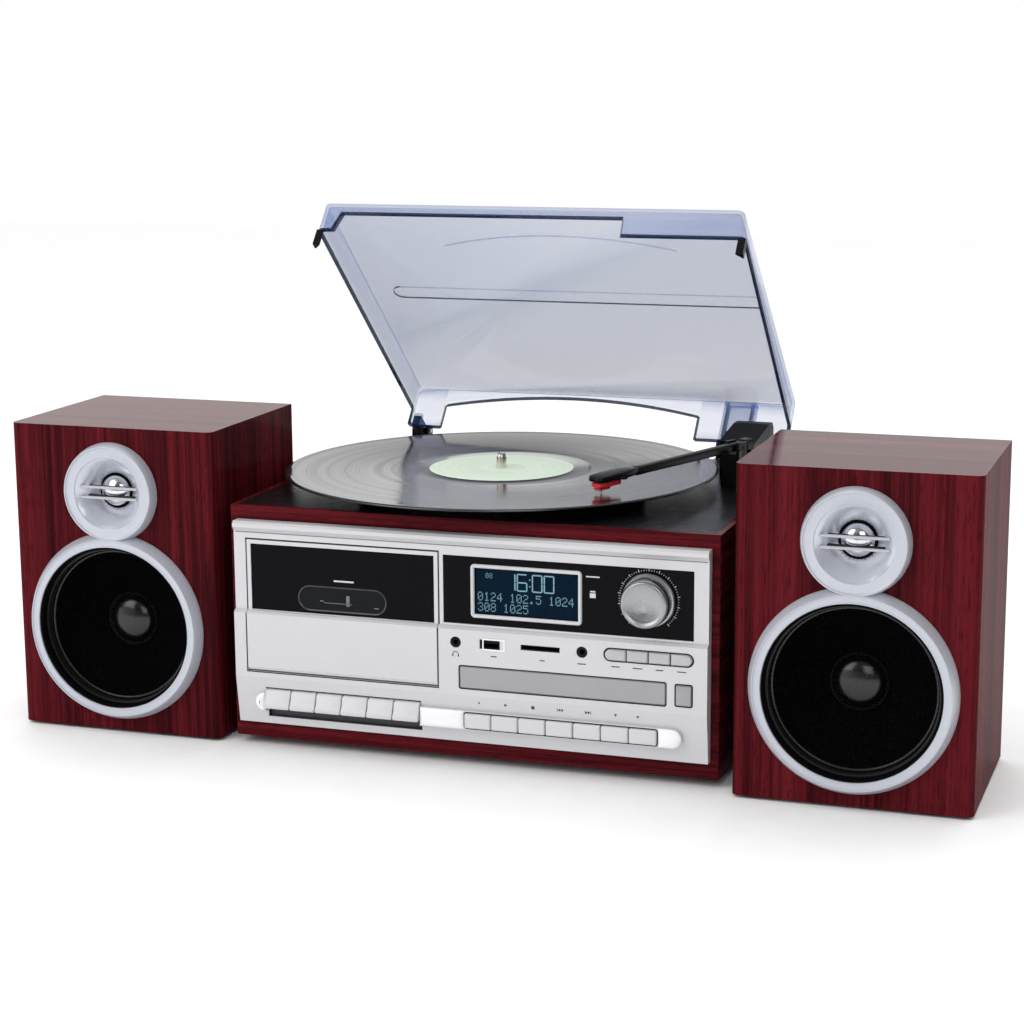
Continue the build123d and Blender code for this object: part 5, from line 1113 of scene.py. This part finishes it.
def lid_outline():
    """Rounded outline of the cover with the depth of its wall at every point: tabs, feet and the rear arc."""
    left, right, front, rear = LID_LEFT, LID_RIGHT, LID_FRONT, LID_REAR
    corner, deep, shallow, foot = 4.0 * MM, LID_DEEP, LID_SHALLOW, LID_FOOT
    step = 0.01 * MM  # a wall's depth changes over this length
    turn = np.linspace(0, pi / 2, 7)
    tab_l, tab_r = left + 10.0 * MM, right - LID_FLARE_WIDE
    foot_l, foot_r = left + 25.0 * MM, right - 70.0 * MM
    front_x = np.array((left + corner, tab_l, tab_l + 4.0 * MM, tab_l + 30.0 * MM, 0.0,
                        tab_r - 30.0 * MM, tab_r - 1.0 * MM, tab_r, right - corner))
    front_depth = (deep, deep, shallow, shallow, shallow, shallow, shallow, deep, deep)
    arc_x = np.linspace(foot_r, foot_l, 41)
    bow = 1 - ((arc_x - (foot_l + foot_r) / 2) / ((foot_r - foot_l) / 2)) ** 2
    rear_x = np.concatenate([(right - corner, foot_r + step), arc_x, (foot_l - step, left + corner)])
    rear_depth = np.concatenate([(foot, foot), (16.5 - 11.0 * bow) * MM, (foot, foot)])
    side_y = np.linspace(front + corner, rear - LID_FOOT_LONG - step, 8)
    foot_y = np.array((rear - LID_FOOT_LONG, rear - corner))

    def corner_arc(cx, cy, start):
        turned_by = turn[1:-1] + start
        return cx + corner * np.cos(turned_by), cy + corner * np.sin(turned_by)

    runs = [
        (front_x, front, front_depth),
        (*corner_arc(right - corner, front + corner, -pi / 2), deep),
        (right, side_y, deep),
        (right, foot_y, foot),
        (*corner_arc(right - corner, rear - corner, 0.0), foot),
        (rear_x, rear, rear_depth),
        (*corner_arc(left + corner, rear - corner, pi / 2), foot),
        (left, foot_y[::-1], foot),
        (left, side_y[::-1], deep),
        (*corner_arc(left + corner, front + corner, pi), deep),
    ]
    x, y, depth = np.concatenate([np.stack(np.broadcast_arrays(*run)) for run in runs], axis=1)
    return np.stack([x, y], 1), depth


def lid_ring(outline, inset, drop):
    """Outline drawn in by the inset at this depth; its right side leans out with depth, most at the front."""
    centre = np.array(((LID_LEFT + LID_RIGHT) / 2, (LID_FRONT + LID_REAR) / 2))
    half = np.array(((LID_RIGHT - LID_LEFT) / 2, (LID_REAR - LID_FRONT) / 2))
    ring = centre + (outline - centre) * (half - inset) / half
    x, y = ring.T
    rightward = np.clip((x - LID_RIGHT + LID_FLARE_WIDE) / LID_FLARE_WIDE, 0.0, 1.0)
    downward = np.clip(drop / LID_DEEP, 0.0, 1.0)
    forward = (LID_REAR - y) / (LID_REAR - LID_FRONT)
    in_foot = drop > LID_DEEP + 2.0 * MM
    y = np.where(in_foot, np.maximum(y, LID_REAR - LID_FOOT_LONG), y)
    return lid_place(x + LID_FLARE * rightward * downward * forward, y, LID_TOP - drop)


def lid_shell():
    """Cover: the outline is carried over a rounded edge, then down walls whose depth varies round it."""
    outline, depth = lid_outline()
    edge = 1.8 * MM
    rows = [lid_ring(outline, edge * (1 - cos(bend)), edge * (1 - sin(bend)))
            for bend in np.linspace(pi / 2, 0, 6)]
    rows += [lid_ring(outline, 0.0, edge + part * (depth - edge)) for part in (0.35, 0.7, 1.0)]
    points, faces = skin(np.array(rows), capped=False)
    return points, faces + [list(range(len(outline)))]


def lid_trim():
    """Dark lower edge of the walls: a thin closed section round the outline, just proud of them."""
    outline, depth = lid_outline()
    proud, tall = 0.05 * MM, 1.3 * MM
    section = ((-proud, tall), (-proud, -proud), (LID_WALL + proud, -proud), (LID_WALL + proud, tall))
    rows = [lid_ring(outline, inset, depth - rise) for inset, rise in section]
    return skin(np.array(rows), closed_rows=True)


class MUSIC_OT_dust_cover(bpy.types.Operator):
    """Makes the smoked dust cover with its ribs, its clear hinge pocket, its bumpers and its hinges"""
    bl_idname = "music.dust_cover"
    bl_label = "Dust cover"

    def execute(self, context):
        clear, edge = shared_finish("clear_plastic"), shared_finish("clear_edge")
        cover = make_piece("cover_shell", [(lid_shell(), 0)], [clear, edge], "lid", ("dust_cover",))
        wall = cover.modifiers.new("Wall", "SOLIDIFY")
        wall.thickness = LID_WALL
        wall.offset = -1.0
        wall.use_rim = True
        wall.material_offset_rim = 1
        make_piece("cover_details", [(lid_trim(), 1), *self.ribs(), *self.hinge_pocket()], [clear, edge],
                   "lid")
        self.fittings(clear)
        dress(shared_finish("matte_black"), "hinge_bases")
        return {"FINISHED"}

    def ribs(self):
        """Raised lines under the plate: a long slot with a round left end, and a shallow arc before it."""
        under = LID_TOP - LID_WALL
        slot_x = np.linspace(-115.0, 150.0, 30) * MM
        turn = np.linspace(pi / 2, 3 * pi / 2, 12)
        slot_y, half = -147.0 * MM, 6.4 * MM
        arc_x = np.linspace(-66.0, 100.0, 40) * MM
        arc_y = -204.5 * MM - 13.9 * MM * (1 - ((arc_x - 17.0 * MM) / (83.0 * MM)) ** 2)
        lines = (
            (slot_x, slot_y + half, 0.42 * MM, 1),
            (slot_x, slot_y - half, 0.30 * MM, 0),
            (slot_x[0] + half * np.cos(turn), slot_y + half * np.sin(turn), 0.50 * MM, 1),
            (arc_x, arc_y, 0.45 * MM, 0),
        )
        return [(carried(lid_place(x, y, under), LID_BACK, LID_UP, wide, 0.6 * MM, 2.0, 8), finish)
                for x, y, wide, finish in lines]

    def hinge_pocket(self):
        """Clear walls round the right hinge, with two dark ribs inside."""
        x = HINGE_X
        walls = lid_blocks(
            ((x - 12, -9.4, -7), (x - 12, -15.5, -7), (x + 10.4, -15.5, -7), (x - 12, -15.5, 27.4)),
            ((x + 12, -8.0, 29), (x - 10.4, -9.4, 29), (x + 12, -9.4, 29), (x + 12, -9.4, 29)))
        ribs = lid_blocks(((x - 9.9, -15.4, -7), (x + 8.4, -15.4, -7)),
                          ((x - 8.4, -9.5, 28), (x + 9.9, -9.5, 28)))
        return (walls, 0), (ribs, 1)

    def fittings(self, clear):
        """Bumpers of the front corners, and the clear leaves and black barrels of the two hinges."""
        bumpers = []
        for edge_x, inward in ((-141.2, 1), (157.9, -1)):
            section = np.array(((0, 0), (5 * inward, 0), (5 * inward, 1), (inward, 5), (0, 5)))
            x, y = (section + (edge_x, -248.5)).T * MM
            bumpers.append(skin(np.array([lid_place(x, y, z * MM) for z in (6.0, -6.3)])))
        x = HINGE_X
        leaves = lid_blocks(((x - 8, -13.6, 4.5), (-140.0, -15.5, 4.0)),
                            ((x + 8, -9.6, 26.6), (-134.0, -11.5, 6.0)))
        roots = lid_blocks(((x - 8, -13.6, -4.5), (x - 8, -9.6, -4.5), (-140.0, -15.5, -4.5)),
                           ((x + 8, -9.6, 4.5), (x + 8, 0.0, 0.5), (-134.0, 0.0, 3.5)))
        barrels = [
            turned(LID_AXIS + barrel_x * MM * RIGHT, RIGHT, np.array(((4.5, -half), (4.5, half))) * MM, 40)
            for barrel_x, half in ((HINGE_X, 8), (LEFT_HINGE_X, 3))
        ]
        make_piece("cover_fittings", [(shape, 0) for shape in (*bumpers, roots, *barrels)] + [(leaves, 1)],
                   [shared_finish("matte_black"), clear], "lid", ("lid_fittings",))


# radius and height before the speaker's front at each station
WOOFER_RING = (
    (0.0650, 0.0), (0.0649, 0.0010), (0.0644, 0.0024), (0.0622, 0.0066), (0.0618, 0.0074),
    (0.0613, 0.0080), (0.0608, 0.0079), (0.0605, 0.0073), (0.0600, 0.0071), (0.0574, 0.0069),
    (0.0568, 0.0071), (0.0562, 0.0069), (0.0559, 0.0062), (0.0552, 0.0030), (0.0545, 0.0),
)
WOOFER_GASKET = (
    (0.05585, 0.0063), (0.0553, 0.0064), (0.0545, 0.0052), (0.0541, 0.0040), (0.0541, 0.0001),
    (0.0546, 0.0001),
)
TWEETER_RING = (
    (0.0340, 0.0), (0.0339, 0.0010), (0.0335, 0.0030), (0.0325, 0.0068), (0.0319, 0.0076),
    (0.0313, 0.0076), (0.0309, 0.0068), (0.0305, 0.0066), (0.0260, 0.0066), (0.0252, 0.0068),
    (0.0246, 0.0066), (0.0243, 0.0058), (0.0240, 0.0040), (0.0240, 0.0),
)
DOME_GAP = ((0.0122, -0.0070), (0.0120, -0.0084), (0.0109, -0.0084), (0.0107, -0.0074))


class MUSIC_OT_speakers(bpy.types.Operator):
    """Makes the painted rings, the horns with their domes, and the black cones"""
    bl_idname = "music.speakers"
    bl_label = "Speakers"

    def execute(self, context):
        silver = look().plastic.trim_silver
        trim = mottled("trim_paint", silver, 0.34, 2600.0, 0.03, 0.05, Metallic=0.3)
        rubber = mottled("gasket_rubber", (0.003, 0.003, 0.0035), 0.5, 1500.0, 0.2, 0.1,
                         Specular_IOR_Level=0.05)
        horn_finishes = [
            trim,
            mottled("horn_paint", times(1.2, silver), 0.24, 2600.0, 0.03, 0.03, Metallic=0.45),
            mottled("bar_plastic", (0.46, 0.46, 0.50), 0.4, 2600.0, 0.03, 0.03),
            brushed("dome_metal", (0.70, 0.71, 0.74), 0.10, (500.0, 500.0, 500.0)),
            shared_finish("painted_gap_shade_and_black_parts"),
        ]
        cone_finishes = [
            speckled("cone_black", (0.0016, 0.0016, 0.0020), 0.6, 0.0),
            mottled("edge_ring", (0.010, 0.010, 0.011), 0.26, 1200.0, 0.4, 0.2, Specular_IOR_Level=0.45),
            speckled("cap_gloss", (0.0020, 0.0020, 0.0024), 0.08, 0.6),
        ]
        rings, tweeters = [], []
        for side in ("left", "right"):
            cone = f"{side}_woofer_cone"
            x, _, z = middle(cone)
            rim_centre = np.array((x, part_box(cone)[0].y, z))
            woofer = rim_centre - 4.0 * MM * BACK
            tweeter = woofer + 93.0 * MM * UP
            rings += [(turned(centre, -BACK, profile, steps, closed_rows=True), finish)
                      for centre, profile, steps, finish in ((woofer, WOOFER_RING, 192, 0),
                                                             (tweeter, TWEETER_RING, 144, 0),
                                                             (woofer, WOOFER_GASKET, 160, 1))]
            tweeters += self.horn(tweeter)
            self.cone(side, rim_centre, cone_finishes)
        make_piece("speaker_rings", rings, [trim, rubber], "music_centre", ("speaker_trims",),
                   24.0)
        make_piece("tweeter_horns", tweeters, horn_finishes, "music_centre")
        dress(mottled("driver_black", (0.006, 0.006, 0.007), 0.5, 900.0, 0.3, 0.2), "driver_units")
        return {"FINISHED"}

    def horn(self, tweeter):
        """Flared horn, the gap round its dome, the dome, and two bars across."""
        fall = np.linspace(0, 1, 10)
        flare = np.stack([0.0244 - 0.0122 * fall, 0.0062 - 0.0132 * fall ** 1.15], 1)
        bow = np.linspace(0, pi / 2, 10)
        dome = np.stack([0.0107 * np.cos(bow) + 1e-5, -0.0074 + 0.0072 * np.sin(bow)], 1)
        shapes = [(turned(tweeter, -BACK, profile, steps, capped=False), finish)
                  for profile, steps, finish in ((flare, 128, 1), (DOME_GAP, 96, 4), (dome, 96, 3))]
        for level in (-1, 1):
            ends = np.array((-0.0212, -0.0208, 0.0208, 0.0212))[:, None] * RIGHT
            bar = tweeter + ends + level * 0.0036 * UP - 0.0038 * BACK
            shapes.append((carried(bar, UP, BACK, (0.0005, 0.0009, 0.0009, 0.0005),
                                   (0.0006, 0.0010, 0.0010, 0.0006), 3.0, 16), 2))
        return shapes

    def cone(self, side, rim_centre, finishes):
        """Cone with a flat edge, a twisted ring, a spiky collar and a cap; depths run back from the rim."""
        steps = 240
        turn = np.linspace(0, 2 * pi, steps, endpoint=False)
        slope = np.linspace(0, 1, 14)
        wall = np.stack([0.0500 - 0.0322 * slope, 0.0030 + 0.0176 * slope ** 0.9], 1)
        front = np.concatenate([((0.0525, 0.0026), (0.0510, 0.0024)), wall])
        back = front[::-1] + np.array((0.0, 0.0014))
        paper = turned(rim_centre, BACK, np.concatenate([front, back]), steps, closed_rows=True)
        bead = np.linspace(0, 2 * pi, 10, endpoint=False)
        ring = np.stack([0.0513 + 0.0011 * np.cos(bead), 0.0014 + 0.0010 * np.sin(bead)], 1)
        twist = 1 + 0.0045 * np.cos(90 * turn[None, :] + 2 * bead[:, None])
        rope = turned(rim_centre, BACK, ring, steps, twist, closed_rows=True)
        skirt = ((0.0186, 0.0204), (0.0184, 0.0192), (0.0177, 0.0180), (0.0171, 0.0186), (0.0167, 0.0203))
        spikes = 1 + np.array((0.0, 0.03, 0.045, 0.02, 0.0))[:, None] * np.cos(60 * turn)
        collar = turned(rim_centre, BACK, skirt, steps, spikes, capped=False)
        bow = np.linspace(0, pi / 2, 14)
        dome = np.stack([0.0166 * np.cos(bow) + 1e-5, 0.0203 - 0.0086 * np.sin(bow)], 1)
        cap = turned(rim_centre, BACK, dome, 96, capped=False)
        make_piece(f"{side}_cone_paper", [(paper, 0), (rope, 1), (collar, 1), (cap, 2)], finishes,
                   f"{side}_cone", (f"{side}_woofer_cone",), 50.0)


class MUSIC_OT_rear_and_base(bpy.types.Operator):
    """Finishes the rear panel, its terminals, the base plate, the feet and the screws"""
    bl_idname = "music.rear_and_base"
    bl_label = "Rear and base"

    def execute(self, context):
        dress(mottled("rear_plastic", (0.020, 0.020, 0.022), 0.5, 1200.0, 0.2, 0.3), "rear_panel")
        dress(shared_finish("gloss_black"), "rear_terminals")
        dress(brushed("base_steel", (0.30, 0.30, 0.31), 0.45, (40.0, 900.0, 900.0)), "base_plate")
        dress(mottled("foot_black", (0.018, 0.018, 0.019), 0.75, 1500.0, 0.2, 0.3), "feet")
        dress(brushed("screw_steel", (0.45, 0.46, 0.48), 0.3, (900.0, 900.0, 900.0)), "fasteners")
        return {"FINISHED"}


class MUSIC_OT_inner_works(bpy.types.Operator):
    """Finishes the circuit boards and the transformer"""
    bl_idname = "music.inner_works"
    bl_label = "Inner works"

    def execute(self, context):
        dress(mottled("board_green", (0.012, 0.075, 0.035), 0.35, 700.0, 0.25, 0.2), "circuit_boards")
        dress(brushed("core_iron", (0.24, 0.23, 0.23), 0.5, (60.0, 60.0, 1800.0)), "power_transformer")
        return {"FINISHED"}


class MUSIC_OT_stage(bpy.types.Operator):
    """Sets the pale floor, the soft lights and the camera"""
    bl_idname = "music.stage"
    bl_label = "Studio"

    def execute(self, context):
        stage, scene = look().stage, context.scene
        scene.view_settings.view_transform = "Standard"
        scene.world = self.surroundings(stage)
        scene.collection.objects.link(self.floor(stage.floor))
        for name, place, size, power in (
            ("main_light", (-1.1, -1.5, 1.3), 1.2, stage.key_power),
            ("fill_light", (0.9, -1.9, 1.1), 1.0, stage.fill_power),
            ("top_light", (0.0, 0.7, 1.8), 1.6, stage.fill_power),
        ):
            scene.collection.objects.link(self.soft_light(name, Vector(place), size, power))
        scene.camera = self.camera()
        scene.collection.objects.link(scene.camera)
        return {"FINISHED"}

    def floor(self, colour):
        """Flat square of floor, 8 m wide."""
        x, y = np.meshgrid(np.linspace(-4.0, 4.0, 9), np.linspace(-4.0, 4.0, 9))
        points, faces = skin(np.stack([x, y, np.zeros_like(x)], -1), closed_columns=False, capped=False)
        mesh = bpy.data.meshes.new("floor")
        mesh.from_pydata(points, [], faces)
        mesh.materials.append(mottled("floor_paint", colour, 0.7, 60.0, 0.01, 0.0))
        floor = bpy.data.objects.new("floor", mesh)
        return floor

    def soft_light(self, name, place, size, power):
        """Square soft light that points at the middle of the object."""
        lamp = bpy.data.lights.new(name, "AREA")
        lamp.energy, lamp.size = power, size
        holder = bpy.data.objects.new(name, lamp)
        holder.location = place
        holder.rotation_euler = (Vector((0, 0, 0.1)) - place).to_track_quat("-Z", "Y").to_euler()
        return holder

    def camera(self):
        """Camera from the right and a little above: turned, tilted down and rolled by small angles."""
        turn, tilt, roll = -0.330, 0.201, -0.007
        ahead = Vector((sin(turn) * cos(tilt), cos(turn) * cos(tilt), -sin(tilt)))
        level = Vector((cos(turn), -sin(turn), 0))
        above = level.cross(ahead)
        right = cos(roll) * level + sin(roll) * above
        upward = -sin(roll) * level + cos(roll) * above
        lens = bpy.data.cameras.new("camera")
        lens.lens, lens.sensor_width, lens.clip_end = 80.93, 36.0, 30.0
        camera = bpy.data.objects.new("camera", lens)
        pose = Matrix((right, upward, -ahead)).transposed().to_4x4()
        pose.translation = (0.4948, -1.48731, 0.4624)
        camera.matrix_world = pose
        return camera

    def surroundings(self, stage):
        """White backdrop; what lights the object is bright behind and above, and dim in front.

        Gloss shows the backdrop up to its top edge, and what is above it much darker.
        """
        white = (1.0, 1.0, 1.0, 1.0)
        edge_low, edge_high = 0.20, 0.29
        world = bpy.data.worlds.new("studio")
        world.use_nodes = True
        backdrop, output = (world.node_tree.nodes[name] for name in ("Background", "World Output"))
        backdrop.inputs["Color"].default_value = white
        direction = add_node(world, "TexCoord").outputs["Generated"]
        ray = add_node(world, "LightPath").outputs
        behind = vector_math(world, "DOT_PRODUCT", direction, (-0.85, 0.6, 1.0))["Value"]
        lit = spread(world, behind, stage.dim, stage.sky, -0.5, 0.5)
        height = add_node(world, "SeparateXYZ", {"Vector": direction}).outputs["Z"]
        overhead = spread(world, height, 1.0, stage.above, edge_low, edge_high)
        in_gloss = add_node(world, "Mix", {0: ray["Is Glossy Ray"], 2: 1.0, 3: overhead}).outputs[0]
        power = calculate(world, "MULTIPLY", lit, in_gloss)
        around = add_node(world, "Background", {"Color": white, "Strength": power}).outputs[0]
        choice = add_node(world, "MixShader", {0: ray["Is Camera Ray"], 1: around, 2: backdrop.outputs[0]})
        world.node_tree.links.new(choice.outputs[0], output.inputs["Surface"])
        return world


OPERATORS = (
    MUSIC_OT_wood, MUSIC_OT_front, MUSIC_OT_display, MUSIC_OT_knob, MUSIC_OT_cassette, MUSIC_OT_buttons,
    MUSIC_OT_turntable, MUSIC_OT_tonearm, MUSIC_OT_dust_cover, MUSIC_OT_speakers, MUSIC_OT_rear_and_base,
    MUSIC_OT_inner_works, MUSIC_OT_stage,
)


class MUSIC_PT_panel(bpy.types.Panel):
    """Lists the pieces of the music centre"""
    bl_idname = "MUSIC_PT_panel"
    bl_label = "Music centre"
    bl_space_type = "VIEW_3D"
    bl_region_type = "UI"
    bl_category = "Music centre"

    def draw(self, context):
        for operator in OPERATORS:
            self.layout.operator(operator.bl_idname, text=operator.bl_label)


CLASSES = (
    WoodLook, PlasticLook, TurntableLook, DisplayLook, KnobLook, StageLook, MusicCentreLook,
    *OPERATORS, MUSIC_PT_panel,
)


def register():
    for item in CLASSES:
        bpy.utils.register_class(item)
    bpy.types.Scene.music_centre_look = PointerProperty(type=MusicCentreLook)


def unregister():
    del bpy.types.Scene.music_centre_look
    for item in reversed(CLASSES):
        bpy.utils.unregister_class(item)


def main():
    """Registers the add-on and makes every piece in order."""
    register()
    for operator in OPERATORS:
        group, name = operator.bl_idname.split(".")
        getattr(getattr(bpy.ops, group), name)()


if __name__ == "__main__":
    main()
